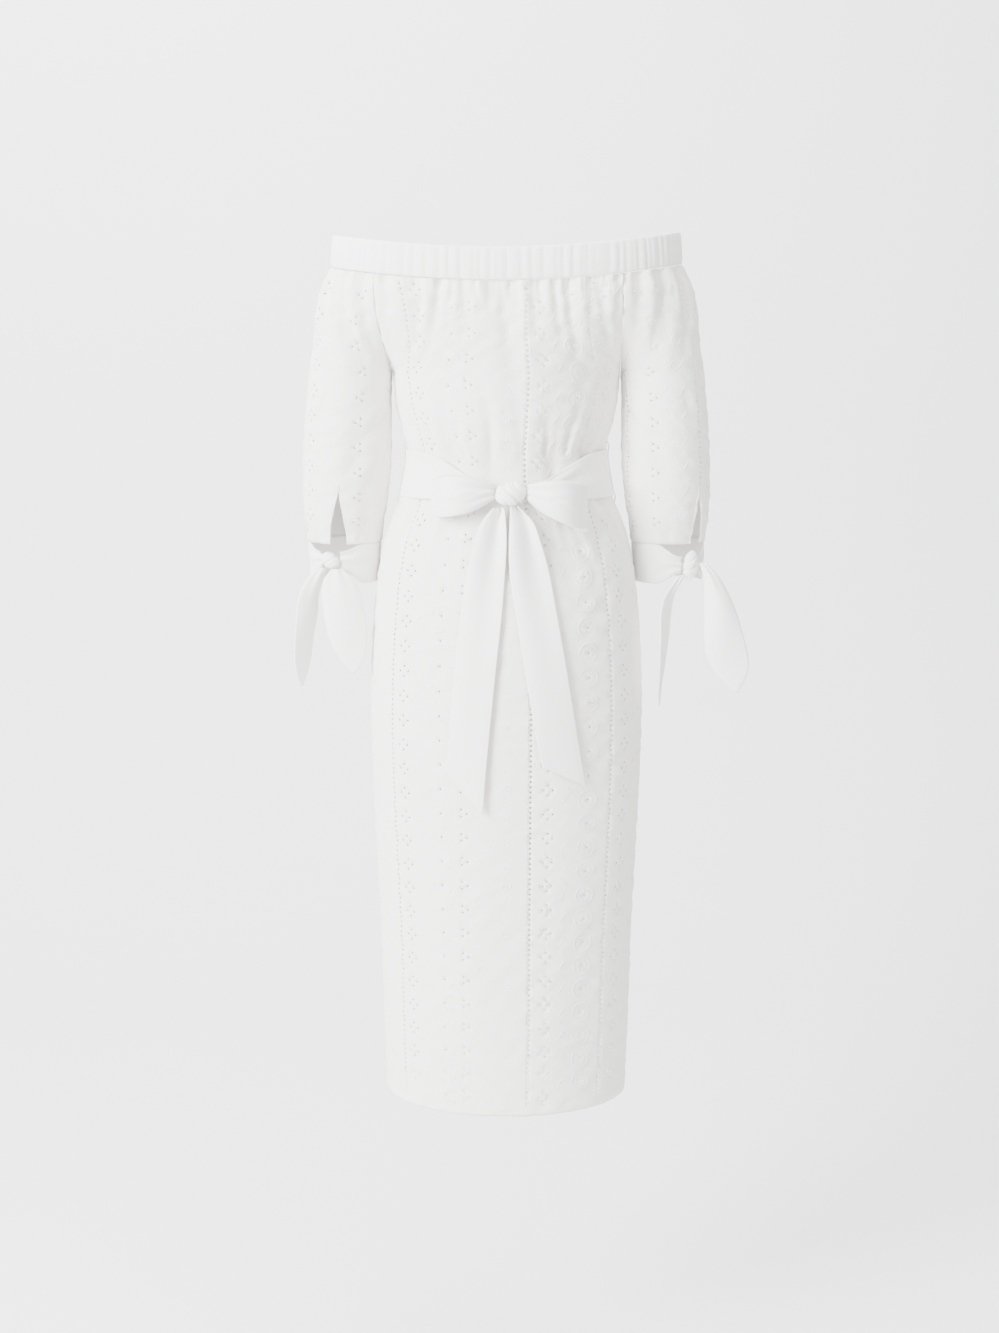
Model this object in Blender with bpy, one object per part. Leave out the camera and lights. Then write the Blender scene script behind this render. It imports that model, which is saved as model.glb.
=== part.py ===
"""Off-shoulder midi dress in its worn shape, hollow, held up at its elastic neckline.

The back faces -Y, +X is the wearer's right and +Z is up. The origin is the centre of the
elastic neckline. Tables and sizes are in millimetres and are turned into metres on the way out.
"""

import math

import bmesh
import bpy
from mathutils import Matrix, Vector

MM = 0.001
CENTRE_BACK, CENTRE_FRONT = -1, 1

CLOTH = 1.5  # wall of the embroidered cotton
PLAIN = 1.8  # wall of the doubled plain cotton
SEAM_GAP = 0.3
TOP_EDGE_RISE = 0.5  # a leaning wall's upper edge stands this far over its middle

# Neckline: a gathered casing round both upper arms
BAND_TOP, BAND_BOTTOM = 20.0, -20.0
BAND_WALL = 5.0
BAND_WIDTH_TOP, BAND_WIDTH_BOTTOM = 219.0, 222.0  # half widths at the middle of the wall
BAND_BACK, BAND_FRONT = 106.0, 112.0
BAND_DIP_BACK, BAND_DIP_FRONT = 18.0, 26.0
BAND_TILT = 2.0  # the wearer's right side sits this much higher
BAND_SQUARENESS = 2.4
BAND_PLEATS = 76
BAND_PLEAT_HEIGHT = 1.3
BAND_PLEAT_SPACING = (9, 6, 7, 13, 6, 10, 16, 7, 5, 11, 8, 14, 6, 9)
BAND_PLEAT = ((0.0, 1.0), (0.28, -0.5), (0.68, 0.1))  # share of the spacing, share of the height
BAND_EDGE_FALL = 1.2  # how much thinner the casing is at its edges, on its outer face

# Fullness that the gathers let out below the casing
PUFF_SIDE, PUFF_SIDE_LENGTH = 25.0, 38.0
PUFF_DEPTH, PUFF_DEPTH_LENGTH = 5.0, 28.0

UNDERARM = -152.0
ARMHOLE_CURVE = 2.1  # how soon above the underarm the armhole seam reaches the gathered loop
RAGLAN_LEFT, RAGLAN_RIGHT = 165.0, 144.0  # how far out each sleeve seam meets the casing
HEM = -1119.0

# How far edges stop short of their seam lines: shares of half a panel, and millimetres on a sleeve
PANEL_SIDE_INSET, PANEL_UNDERARM_INSET, PANEL_TOP_INSET = 0.0013, 0.0058, 0.0013
SLEEVE_UNDERARM_INSET, SLEEVE_TOP_INSET = 0.9, 0.25
SLEEVE_RADIUS = 54.0  # turns millimetres round a sleeve into shares

BODY_COLUMNS = ("height", "half_width", "back_depth", "front_depth")
BODY = (
    (-20, 145.0, 104, 114),
    (-152, 145.0, 103, 124),
    (-172, 143.6, 101, 124),
    (-200, 140.5, 98, 121),
    (-232, 132.5, 93, 110),
    (-258, 126.6, 88, 99),
    (-285, 130.0, 88, 97),
    (-312, 135.8, 92, 100),
    (-345, 150.0, 100, 104),
    (-385, 161.5, 108, 107),
    (-450, 171.0, 117, 109),
    (-520, 176.2, 122, 109),
    (-600, 178.2, 122, 108),
    (-700, 175.8, 119, 107),
    (-800, 171.5, 116, 106),
    (-900, 167.0, 114, 105),
    (-1010, 164.6, 114, 105),
    (HEM, 161.0, 115, 105),
)

SLEEVE_COLUMNS = ("height", "inner", "outer", "middle_depth", "half_depth")
SLEEVE = (
    (-20, 147.4, 246.0, 0, 54),
    (-90, 147.4, 247.0, 0, 54),
    (-152, 147.4, 253.5, 1, 53),
    (-172, 149.0, 255.5, 2, 53),
    (-220, 149.5, 260.5, 5, 54),
    (-265, 150.5, 263.5, 9, 55),
    (-312, 155.0, 265.0, 13, 54),
    (-345, 160.5, 263.5, 16, 51),
    (-362, 163.0, 261.0, 19, 48),
    (-378, 165.0, 259.5, 21, 46),
    (-427, 168.5, 257.5, 27, 44),
)
SLEEVE_END = -374.0

# Cuffs: the slit's angle runs from the outer side, and is negative towards the back
CUFF_TOP, CUFF_BOTTOM = -374.3, -427.0
# The knot's stand is how far its middle is off the cuff's middle surface, and its lean is in degrees.
SLIT_COLUMNS = (
    "side", "angle", "apex", "opening", "knot_angle", "knot_height", "knot_reach", "stand", "lean",
)
SLITS = (
    ("left", -84, -300, 25, -71, -395, 15.5, 4.4, 25),
    ("right", -46, -300, 19, -58, -402, 14.0, 5.1, 80),
)
CUFF_KNOT_SIZES = {"left": (13.0, 8.5, 10.5), "right": (19.5, 8.5, 11.0)}
CUFF_KNOT_GROOVES, CUFF_KNOT_GROOVE_DEPTH = (-0.1, 0.45), 0.13
CUFF_HALF_HEIGHT_AT_KNOT = 11.0
CUFF_GATHER_START, CUFF_GATHER_LENGTH = 56.0, 40.0  # degrees from the knot
CUFF_GATHER_STAND, CUFF_GATHER_RIPPLE = 2.0, 1.4

# Sash round the waist
SASH_TOP, SASH_BOTTOM = -252.5, -312.0
SASH_TOP_AT_KNOT, SASH_BOTTOM_AT_KNOT = -291.0, -311.0
SASH_SLOPE_START, SASH_SLOPE_END = 118.0, 20.0  # distances from the knot, along X
SASH_CLEARANCE = 3.3  # from the body's middle surface to the sash's
SASH_START, SASH_TURN = 11.0, 3.0  # degrees from the centre back to its ends, and their offset
SASH_GATHER_START, SASH_GATHER_LENGTH = 70.0, 50.0  # distances from the knot, along X
SASH_GATHER_STAND, SASH_GATHER_RIPPLE, SASH_GATHERS = 2.5, 1.6, 3
KNOT_X, KNOT_Z = 5.0, -301.0
KNOT_SIZE = (20.5, 13.5, 16.0)
KNOT_CLEARANCE = 1.2  # from the body's middle surface to the knot
KNOT_LEAN = 14.0
KNOT_GROOVES, KNOT_GROOVE_DEPTH = (-0.42, 0.02, 0.5), 0.16
KNOT_END_FALL, KNOT_END_CURVE = 0.80, 3.2  # how a knot narrows to its ends
KNOT_GROOVE_WIDTH, KNOT_TWIST = 0.09, 2.5

# Soft folds. Across runs from -1 at the wearer's left seam to 1 at the right one, width is a share
# of the same, height is the fold's middle and reach is how far it fades above and below.
FOLD_COLUMNS = ("across", "depth", "width", "height", "reach", "drift")
BACK_FOLDS = (
    (-0.90, -3.0, 0.050, -30, 90, 0.00),
    (-0.80, 2.2, 0.050, -30, 110, 0.02),
    (-0.66, -3.6, 0.055, -30, 150, 0.05),
    (-0.57, 2.6, 0.045, -30, 90, 0.00),
    (-0.47, -3.4, 0.050, -30, 130, -0.03),
    (-0.39, 2.8, 0.045, -30, 80, 0.00),
    (-0.30, -3.0, 0.045, -30, 100, 0.03),
    (-0.21, 2.4, 0.045, -30, 120, 0.00),
    (-0.12, -2.6, 0.040, -30, 70, 0.00),
    (0.02, -4.2, 0.075, -30, 230, 0.03),
    (0.13, 2.8, 0.045, -30, 140, 0.00),
    (0.23, -3.0, 0.045, -30, 90, -0.02),
    (0.31, 2.2, 0.045, -30, 80, 0.00),
    (0.38, -3.2, 0.045, -30, 110, 0.00),
    (0.50, -3.8, 0.060, -30, 190, -0.04),
    (0.58, 2.4, 0.040, -30, 100, 0.00),
    (0.66, -3.0, 0.045, -30, 90, 0.02),
    (0.76, -3.4, 0.050, -30, 140, 0.04),
    (0.86, 2.6, 0.045, -30, 120, 0.00),
    (-0.70, -4.0, 0.060, -240, 70, 0.04),
    (-0.36, -4.6, 0.065, -248, 90, 0.03),
    (-0.10, -3.4, 0.050, -262, 80, 0.00),
    (0.30, -3.8, 0.055, -258, 80, 0.02),
    (0.57, -4.8, 0.055, -240, 75, -0.02),
    (0.76, -3.6, 0.050, -238, 60, -0.03),
    (-0.62, -3.4, 0.060, -345, 90, -0.05),
    (-0.34, -3.0, 0.060, -350, 110, -0.03),
    (0.32, -4.0, 0.060, -345, 120, 0.04),
    (0.52, -3.2, 0.055, -350, 90, 0.05),
    (0.72, -3.8, 0.060, -345, 110, 0.06),
    (-0.55, 2.5, 0.130, -640, 300, 0.02),
    (0.10, -3.0, 0.160, -720, 330, -0.02),
    (0.62, 2.8, 0.140, -700, 320, 0.03),
    (-0.20, 2.2, 0.140, -930, 200, 0.02),
    (0.40, -2.0, 0.120, -980, 170, 0.00),
)
FRONT_FOLDS = (
    (-0.86, 2.4, 0.055, -34, 120, 0.00),
    (-0.72, -3.4, 0.055, -34, 140, 0.03),
    (-0.60, 2.4, 0.050, -34, 100, 0.00),
    (-0.48, -3.2, 0.055, -34, 110, 0.02),
    (-0.36, 2.6, 0.050, -34, 130, 0.00),
    (-0.24, -3.6, 0.055, -34, 160, 0.02),
    (-0.12, 2.2, 0.050, -34, 90, 0.00),
    (0.00, -3.8, 0.065, -34, 200, 0.00),
    (0.13, 2.6, 0.050, -34, 120, 0.00),
    (0.26, -3.2, 0.055, -34, 130, -0.02),
    (0.38, 2.4, 0.050, -34, 100, 0.00),
    (0.50, -3.4, 0.055, -34, 150, -0.03),
    (0.63, 2.6, 0.050, -34, 110, 0.00),
    (0.76, -3.2, 0.055, -34, 130, -0.03),
    (0.88, 2.2, 0.050, -34, 100, 0.00),
    (-0.64, -4.2, 0.065, -242, 80, 0.03),
    (-0.34, -4.4, 0.065, -246, 90, 0.02),
    (0.00, -3.6, 0.060, -250, 90, 0.00),
    (0.36, -4.6, 0.065, -246, 85, -0.02),
    (0.66, -4.0, 0.065, -242, 75, -0.03),
    (-0.58, -3.4, 0.065, -345, 110, -0.04),
    (-0.22, -3.0, 0.060, -345, 120, -0.02),
    (0.22, -3.4, 0.060, -345, 110, 0.02),
    (0.58, -3.2, 0.065, -345, 120, 0.04),
    (-0.40, 2.6, 0.150, -680, 320, 0.00),
    (0.20, -2.6, 0.150, -740, 320, 0.00),
    (0.70, 2.2, 0.140, -900, 230, 0.00),
)
# On a sleeve, across runs from -1 at the back seam, over the outer side, to 1 at the front seam.
SLEEVE_FOLDS = (
    (-0.88, -3.4, 0.045, -40, 110, 0.02),
    (-0.76, 3.0, 0.045, -40, 120, 0.02),
    (-0.63, -4.2, 0.050, -40, 130, 0.03),
    (-0.50, 3.2, 0.045, -40, 150, 0.00),
    (-0.38, -3.6, 0.045, -40, 120, 0.00),
    (-0.26, 2.6, 0.045, -40, 110, 0.00),
    (-0.14, -3.2, 0.045, -40, 130, 0.02),
    (0.00, 2.4, 0.050, -40, 120, 0.00),
    (0.14, -3.0, 0.045, -40, 110, 0.00),
    (0.28, 2.6, 0.050, -40, 130, 0.00),
    (0.42, -3.4, 0.050, -40, 120, 0.00),
    (0.58, 2.8, 0.050, -40, 110, 0.00),
    (0.73, -3.6, 0.050, -40, 140, 0.00),
    (0.88, 2.4, 0.045, -40, 100, 0.00),
    (-0.58, -2.6, 0.070, -255, 90, 0.06),
    (-0.70, -3.0, 0.055, -335, 60, -0.04),
    (0.05, -2.6, 0.060, -340, 55, 0.00),
    (0.35, -3.2, 0.055, -345, 60, 0.00),
    (0.62, -2.8, 0.055, -342, 60, 0.00),
    (0.85, -2.6, 0.050, -345, 55, 0.00),
)

# Bow loops: outlines in X and Z, and how far apart the two leaves of each loop stand. A loop is
# stiff: its inner leaf bends in towards the body only slowly, and never comes nearer than clear.
LOOP_CLEARANCE, LOOP_STIFF_CLEARANCE = 6.5, 12.8
LOOP_BEND, LOOP_BEND_REACH, LOOP_BEND_CURVE = 17.0, 97.0, 1.6
LOOP_CURL, LOOP_INNER_CURL = 3.0, 0.9
LOOP_COLUMNS = ("reach", "top", "bottom", "leaf_gap")
LOOPS = {
    "left": (
        (20.9, -290, -308, 6),
        (34, -285, -316, 15),
        (52, -281, -324, 23),
        (70, -279, -328, 25),
        (86, -281, -331, 18),
        (99, -287, -331, 5),
    ),
    "right": (
        (21.2, -290, -310, 6),
        (34, -287, -321, 15),
        (52, -285, -331, 23),
        (70, -286, -339, 24),
        (86, -289, -345, 17),
        (97, -293, -347, 5),
    ),
}

# Sash tails: both edges in X at each height, and the depth of the crease down the middle
TAIL_COLUMNS = ("height_left", "height_right", "left", "right", "crease")
TAILS = {
    "left": (
        (-319, -319, -17, -3, 5.0),
        (-336, -336, -31, -1, 5.0),
        (-362, -362, -41, 0, 4.0),
        (-401, -401, -50, -2, 3.0),
        (-454, -454, -58, -6, 2.0),
        (-515, -520, -65, -13, 1.4),
        (-575, -590, -70, -20, 1.0),
        (-630, -655, -75, -26, 0.8),
        (-656, -709, -78, -30, 0.6),
    ),
    "right": (
        (-316.5, -316.5, 5, 14, 5.0),
        (-336, -336, 4, 33, 5.0),
        (-362, -362, 3, 43, 4.0),
        (-401, -401, 4, 54, 3.0),
        (-454, -454, 12, 64, 2.0),
        (-515, -515, 22, 75, 1.4),
        (-570, -575, 31, 85, 1.0),
        (-615, -630, 39, 94, 0.8),
        (-648, -675, 46, 102, 0.6),
    ),
}

TAIL_CLEARANCE, TAIL_STAND_AT_KNOT = 5.5, 9.0
TAIL_STAND_START, TAIL_STAND_LENGTH = -420.0, 90.0
TAIL_FREE = -540.0  # below this a tail hangs straight down
TAIL_CREASE_SHIFT = 0.6

# Cuff ties: middle line, breadth and turn about the upright, at each height below the knot
TIE_COLUMNS = ("height", "x", "y", "half_breadth", "turn", "crease")
TIES = {
    "cuff_tie_left_inner": (
        (-405.5, -219, -32, 7, 5, 2.0),
        (-418, -217, -34, 18, 5, 3.0),
        (-440, -214, -36, 25, 4, 3.0),
        (-466, -210, -37, 26, 3, 2.0),
        (-492, -206, -37, 25, 2, 1.4),
        (-513, -203, -37, 19, 2, 1.0),
        (-529, -200, -37, 11, 2, 0.6),
        (-541, -199, -37, 1.5, 2, 0.2),
    ),
    "cuff_tie_left_outer": (
        (-404.5, -238, -28.6, 6, 20, 2.0),
        (-419, -246.5, -29.7, 12, 35, 3.0),
        (-440, -254, -29, 18, 50, 3.0),
        (-466, -257, -28, 22, 56, 2.0),
        (-492, -261, -27, 23, 60, 1.6),
        (-518, -264, -27, 21, 60, 1.2),
        (-541, -266, -27, 13, 58, 0.8),
        (-560, -267, -27, 1.5, 56, 0.2),
    ),
    "cuff_tie_right_inner": (
        (-414, 228, -27, 3.5, 30, 1.0),
        (-428, 220, -27, 9, 50, 2.0),
        (-443, 213, -26, 17, 66, 3.0),
        (-466, 209, -25, 23, 75, 3.0),
        (-492, 208, -24, 26, 77, 2.4),
        (-518, 206, -23, 26, 78, 2.0),
        (-545, 204, -22, 22, 78, 1.5),
        (-568, 202, -22, 12, 78, 0.8),
        (-587, 201, -22, 1.5, 78, 0.2),
    ),
    "cuff_tie_right_outer": (
        (-399, 254.3, -20, 4.5, -20, 1.5),
        (-414, 264, -22, 9, -12, 3.5),
        (-440, 273, -25, 16, -6, 4.0),
        (-466, 279, -27, 21, -3, 3.0),
        (-492, 283, -28, 25, -2, 2.0),
        (-518, 288, -28, 27, -2, 1.4),
        (-538, 293, -28, 23, -2, 1.0),
        (-556, 298, -28, 12, -2, 0.6),
        (-569, 301, -28, 1.5, -2, 0.2),
    ),
}

BELT_LOOP_TOP, BELT_LOOP_BOTTOM = -243.0, -321.0
BELT_LOOP_BREADTH, BELT_LOOP_WALL = 6.0, 1.5
BELT_LOOP_STEP = 0.08  # the share of its length over which it steps out over the sash
BELT_LOOP_PLACES = (0.0, 0.03, 0.08, 0.3, 0.5, 0.7, 0.92, 0.97, 1.0)

BACK_STEPS, FRONT_STEPS, SLEEVE_STEPS = 40, 28, 24
TIE_STEPS_ACROSS = 4
CUFF_STEPS, CUFF_ROWS, CUFF_RIPPLES = 22, 4, 2.5
SASH_STEPS, SASH_ROWS = 38, 5
LOOP_STEPS, LOOP_ROWS = 6, 3
TAIL_STEPS_ACROSS, TAIL_STEPS_ALONG = 5, 12
RISES = (1.0, 0.85, 0.68, 0.50, 0.32, 0.14, 0.0)  # rows between underarm and casing
PANEL_HEIGHTS = (-175, -205, -232, -252, -266, -282, -298, -316, -342, -378, -425, -485)
SKIRT_HEIGHTS = (-560, -660, -780, -900, -1010, HEM)
SLEEVE_HEIGHTS = (-175, -205, -245, -280, -302, -325, -345, -360, SLEEVE_END)


def smooth(t):
    """0 to 1 with level ends."""
    t = min(max(t, 0.0), 1.0)
    return t * t * (3 - 2 * t)


def mix(a, b, share):
    return a + (b - a) * share


def look_up(table, columns, column, place):
    """A smooth curve through one column of a table, read by the first column."""
    index = columns.index(column)
    rows = sorted((row[0], row[index]) for row in table)
    if place <= rows[0][0]:
        return rows[0][1]
    if place >= rows[-1][0]:
        return rows[-1][1]
    k = max(i for i in range(len(rows) - 1) if rows[i][0] <= place)

    def slope(i):
        low, high = rows[max(i - 1, 0)], rows[min(i + 1, len(rows) - 1)]
        return (high[1] - low[1]) / (high[0] - low[0])

    (x0, y0), (x1, y1) = rows[k], rows[k + 1]
    span = x1 - x0
    t = (place - x0) / span
    start = (1 + 2 * t) * (1 - t) ** 2 * y0 + t * (1 - t) ** 2 * span * slope(k)
    return start + t * t * (3 - 2 * t) * y1 + t * t * (t - 1) * span * slope(k + 1)


def body(column, height):
    return look_up(BODY, BODY_COLUMNS, column, height)


def sleeve(column, height):
    return look_up(SLEEVE, SLEEVE_COLUMNS, column, height)


def squared(sine):
    """How far the neckline's loop stands off the X axis, 1 at the centre and 0 at the side."""
    return (1 - min(abs(sine), 1.0) ** BAND_SQUARENESS) ** (1 / BAND_SQUARENESS)


def band_drop(across, side):
    """How far the neckline dips at this share of its half width."""
    dip = BAND_DIP_BACK if side == CENTRE_BACK else BAND_DIP_FRONT
    return dip * (1 - across * across) - BAND_TILT * across


def panel_top(across_share, side):
    """The height of the cloth's upper edge just under the casing."""
    return BAND_BOTTOM - SEAM_GAP - TOP_EDGE_RISE - band_drop(across_share, side)


def loop_point(angle, drop, side):
    """A point of the gathered loop below the casing: angle is 0 at the centre, 90 degrees at the arm."""
    width = BAND_WIDTH_BOTTOM + PUFF_SIDE * (1 - math.exp(-drop / PUFF_SIDE_LENGTH))
    depth = BAND_BACK if side == CENTRE_BACK else BAND_FRONT
    depth += PUFF_DEPTH * (1 - math.exp(-drop / PUFF_DEPTH_LENGTH))
    sine = math.sin(angle)
    return width * sine, side * depth * squared(sine)


def loop_angle(across, drop):
    """The loop's angle at a panel's share across, so that each armhole seam runs straight down."""
    width = BAND_WIDTH_BOTTOM + PUFF_SIDE * (1 - math.exp(-drop / PUFF_SIDE_LENGTH))
    left, right = math.asin(RAGLAN_LEFT / width), math.asin(RAGLAN_RIGHT / width)
    return (right + left) / 2 * across + (right - left) / 2 * across * across


def opening_share(rise):
    """From 0 at the underarm to 1 at the casing: how far the armhole seam has moved out to the loop."""
    return 1 - (1 - min(max(rise, 0.0), 1.0)) ** ARMHOLE_CURVE


def envelope(height, middle, reach):
    return 1 - smooth(abs(height - middle) / reach)


def folds(table, across, height):
    """How far the cloth stands out of its smooth form here."""
    total = 0.0
    for share, depth, width, middle, reach, drift in table:
        near = envelope(height, middle, reach)
        if near:
            centre = share + drift * (middle - height) / reach
            total += depth * near * math.exp(-(((across - centre) / width) ** 2))
    return total


def panel_section(across, height, side):
    """The smooth form of the front or back: across runs from -1 to 1 between its side seams."""
    depth = body("back_depth" if side == CENTRE_BACK else "front_depth", height)
    turn = across * math.pi / 2
    x = body("half_width", height) * math.sin(turn)
    y = side * depth * math.cos(turn)
    if height > UNDERARM:
        top = panel_top(math.sin(loop_angle(across, 0.0)), side)
        share = opening_share((height - UNDERARM) / (top - UNDERARM))
        drop = max(top - height, 0.0)
        above = loop_point(loop_angle(across, drop), drop, side)
        x, y = mix(x, above[0], share), mix(y, above[1], share)
    return Vector((x, y, height))


def outward(section, across, *rest):
    """The level direction that points out of a section curve."""
    step = 0.004
    along = section(across + step, *rest) - section(across - step, *rest)
    return Vector((along.y, -along.x, 0.0)).normalized()


def panel_point(across, height, side, proud=0.0, plain=False):
    """A point of the front or back wall's middle surface, moved out by proud."""
    table = BACK_FOLDS if side == CENTRE_BACK else FRONT_FOLDS
    out = outward(panel_section, across, height, side) * -side
    stand = proud if plain else proud + folds(table, across, height)
    return panel_section(across, height, side) + out * stand


def sleeve_top(across, arm):
    side = CENTRE_BACK if across < 0 else CENTRE_FRONT
    angle = mix(math.pi / 2, abs(loop_angle(arm, 0.0)), abs(across))
    return panel_top(arm * math.sin(angle), side)


def sleeve_section(across, height, arm=1):
    """The smooth form of a sleeve, drawn on the right, from -1 at its back seam round the arm to 1 at
    the front. Arm is 1 for the right sleeve and -1 for the left one, which sits a little lower."""
    inner, outer = sleeve("inner", height), sleeve("outer", height)
    turn = across * math.pi
    middle = sleeve("middle_depth", height)
    x = (inner + outer) / 2 + (outer - inner) / 2 * math.cos(turn)
    y = middle + sleeve("half_depth", height) * math.sin(turn)
    if height > UNDERARM:
        side = CENTRE_BACK if across < 0 else CENTRE_FRONT
        top = sleeve_top(across, arm)
        share = opening_share((height - UNDERARM) / (top - UNDERARM))
        drop = max(top - height, 0.0)
        angle = mix(math.pi / 2, abs(loop_angle(arm, drop)), abs(across))
        above = loop_point(angle, drop, side)
        level = middle * (1 - smooth(abs(across)))  # the seam itself starts level with the body's
        x, y = mix(x, above[0], share), mix(y - middle + level, above[1], share)
    return Vector((x, y, height))


def sleeve_point(across, height, arm=1, proud=0.0):
    out = outward(sleeve_section, across, height, arm)
    stand = proud + folds(SLEEVE_FOLDS, across, height)
    return sleeve_section(across, height, arm) + out * stand


def material(name, colour, roughness):
    made = bpy.data.materials.new(name)
    made.use_nodes = True
    shader = made.node_tree.nodes["Principled BSDF"]
    shader.inputs["Base Color"].default_value = (*colour, 1.0)
    shader.inputs["Roughness"].default_value = roughness
    shader.inputs["Metallic"].default_value = 0.0
    return made


def add_object(name, mesh, finish, parent):
    mesh.materials.append(finish)
    mesh.shade_smooth()
    made = bpy.data.objects.new(name, mesh)
    bpy.context.scene.collection.objects.link(made)
    made.parent = parent
    return made


def add_wall(made, thickness):
    """Gives a sheet its wall, half to each side of the sheet."""
    wall = made.modifiers.new("Wall", "SOLIDIFY")
    wall.thickness = thickness * MM
    wall.offset = 0.0
    wall.use_even_offset = True
    wall.use_rim = True
    return made


def grid_mesh(name, rows, closed=False):
    """A sheet through rows of points in millimetres. Closed joins each row's end to its start."""
    shape = bmesh.new()
    grid = [[shape.verts.new(point * MM) for point in row] for row in rows]
    count = len(rows[0])
    for upper, lower in zip(grid, grid[1:]):
        for i in range(count if closed else count - 1):
            j = (i + 1) % count
            shape.faces.new((upper[i], lower[i], lower[j], upper[j]))
    mesh = bpy.data.meshes.new(name)
    shape.to_mesh(mesh)
    shape.free()
    return mesh


def solid_from_rings(name, rings):
    """A closed solid through rings of points, with a flat cap at each end."""
    shape = bmesh.new()
    grid = [[shape.verts.new(point * MM) for point in ring] for ring in rings]
    count = len(rings[0])
    for first, second in zip(grid, grid[1:]):
        for i in range(count):
            j = (i + 1) % count
            shape.faces.new((first[i], second[i], second[j], first[j]))
    shape.faces.new(grid[0])
    shape.faces.new(reversed(grid[-1]))
    bmesh.ops.recalc_face_normals(shape, faces=shape.faces)
    mesh = bpy.data.meshes.new(name)
    shape.to_mesh(mesh)
    shape.free()
    return mesh


def edge_share(height, top):
    """How far a panel reaches towards its seam, so that walls that meet keep their gap."""
    if height <= UNDERARM:
        return 1 - PANEL_SIDE_INSET
    rise = opening_share((height - UNDERARM) / (top - UNDERARM))
    return 1 - mix(PANEL_UNDERARM_INSET, PANEL_TOP_INSET, rise)


def make_panel(name, side, steps, finish, parent):
    """The front or back: one piece from the casing to the hem, full between the armhole seams."""
    rows = []
    heights = [(rise, None) for rise in RISES]
    heights += [(None, height) for height in PANEL_HEIGHTS + SKIRT_HEIGHTS]
    for rise, fixed in heights:
        row = []
        for i in range(steps + 1):
            across = -1 + 2 * i / steps
            top = panel_top(math.sin(loop_angle(across, 0.0)), side)
            height = fixed if rise is None else mix(UNDERARM, top, rise)
            across *= edge_share(height, top)
            row.append(panel_point(across, height, side))
        rows.append(row)
    if side == CENTRE_FRONT:
        rows = [row[::-1] for row in rows]
    return add_wall(add_object(name, grid_mesh(name, rows), finish, parent), CLOTH)


def slit_of(side_name):
    return next(dict(zip(SLIT_COLUMNS, row)) for row in SLITS if row[0] == side_name)


def slit_opening(slit, height):
    """The slit's breadth in millimetres at this height."""
    return slit["opening"] * smooth((slit["apex"] - height) / (slit["apex"] - SLEEVE_END)) ** 0.8


def mirrored(point, side_name):
    return Vector((-point.x, point.y, point.z)) if side_name == "left" else point


def make_sleeve(side_name, finish, parent):
    """A raglan sleeve: open along the armhole seam, closed round the arm, slit above the cuff."""
    slit = slit_of(side_name)
    start = slit["angle"] / 180
    steps = SLEEVE_STEPS
    arm = 1 if side_name == "right" else -1
    seam_step = round(steps * (1 - start) / 2)
    shape = bmesh.new()
    found = {}

    def across_at(step, height):
        if step <= seam_step:
            across = mix(start, 1.0, step / seam_step)
        else:
            across = mix(1.0, start + 2, (step - seam_step) / (steps - seam_step))
        half = slit_opening(slit, height) / 2 / (math.pi * SLEEVE_RADIUS)
        return mix(start + half, start + 2 - half, (across - start) / 2)

    def vertex(level, step, after):
        """after is True for the copy that the faces past this step use."""
        rise, fixed = levels[level]
        low = fixed if rise is None else UNDERARM
        split_slit = low < slit["apex"] and step in (0, steps)
        split_seam = rise not in (None, 0.0) and step == seam_step
        if step in (0, steps) and not split_slit:
            step = 0
        key = (level, step, after if split_seam else None)
        if key not in found:
            across = across_at(step, low)
            sign = 1.0
            if across > 1 or (split_seam and after):
                across, sign = across - 2, -1.0
            height = fixed if rise is None else mix(UNDERARM, sleeve_top(across, arm), rise)
            if split_seam:
                ease = mix(SLEEVE_UNDERARM_INSET, SLEEVE_TOP_INSET, opening_share(rise))
                across -= sign * ease / (math.pi * SLEEVE_RADIUS)
            point = sleeve_point(across, height, arm)
            found[key] = shape.verts.new(mirrored(point, side_name) * MM)
        return found[key]

    levels = [(rise, None) for rise in RISES] + [(None, height) for height in SLEEVE_HEIGHTS]
    for level in range(len(levels) - 1):
        for step in range(steps):
            corners = (
                vertex(level, step, True),
                vertex(level + 1, step, True),
                vertex(level + 1, step + 1, False),
                vertex(level, step + 1, False),
            )
            shape.faces.new(corners if side_name == "right" else corners[::-1])
    name = "sleeve_" + side_name
    mesh = bpy.data.meshes.new(name)
    shape.to_mesh(mesh)
    shape.free()
    return add_wall(add_object(name, mesh, finish, parent), CLOTH)


def pleat_places():
    """Angles round the neckline at which its pleats stand, unevenly spaced."""
    spacing = [BAND_PLEAT_SPACING[i % len(BAND_PLEAT_SPACING)] for i in range(BAND_PLEATS)]
    places, total = [], 0.0
    for gap in spacing:
        places.append(total)
        total += gap
    return [place / total for place in places], [gap / total for gap in spacing]


def band_loop(share, width):
    """A point round the neckline: share 0 is at the centre back and runs to the wearer's right."""
    angle = share * 2 * math.pi
    sine, cosine = math.sin(angle), math.cos(angle)
    side = CENTRE_BACK if cosine > 0 else CENTRE_FRONT
    depth = mix(BAND_FRONT, BAND_BACK, smooth(0.5 + 2 * cosine))
    return Vector((width * sine, side * depth * squared(sine), -band_drop(sine, side)))


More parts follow.
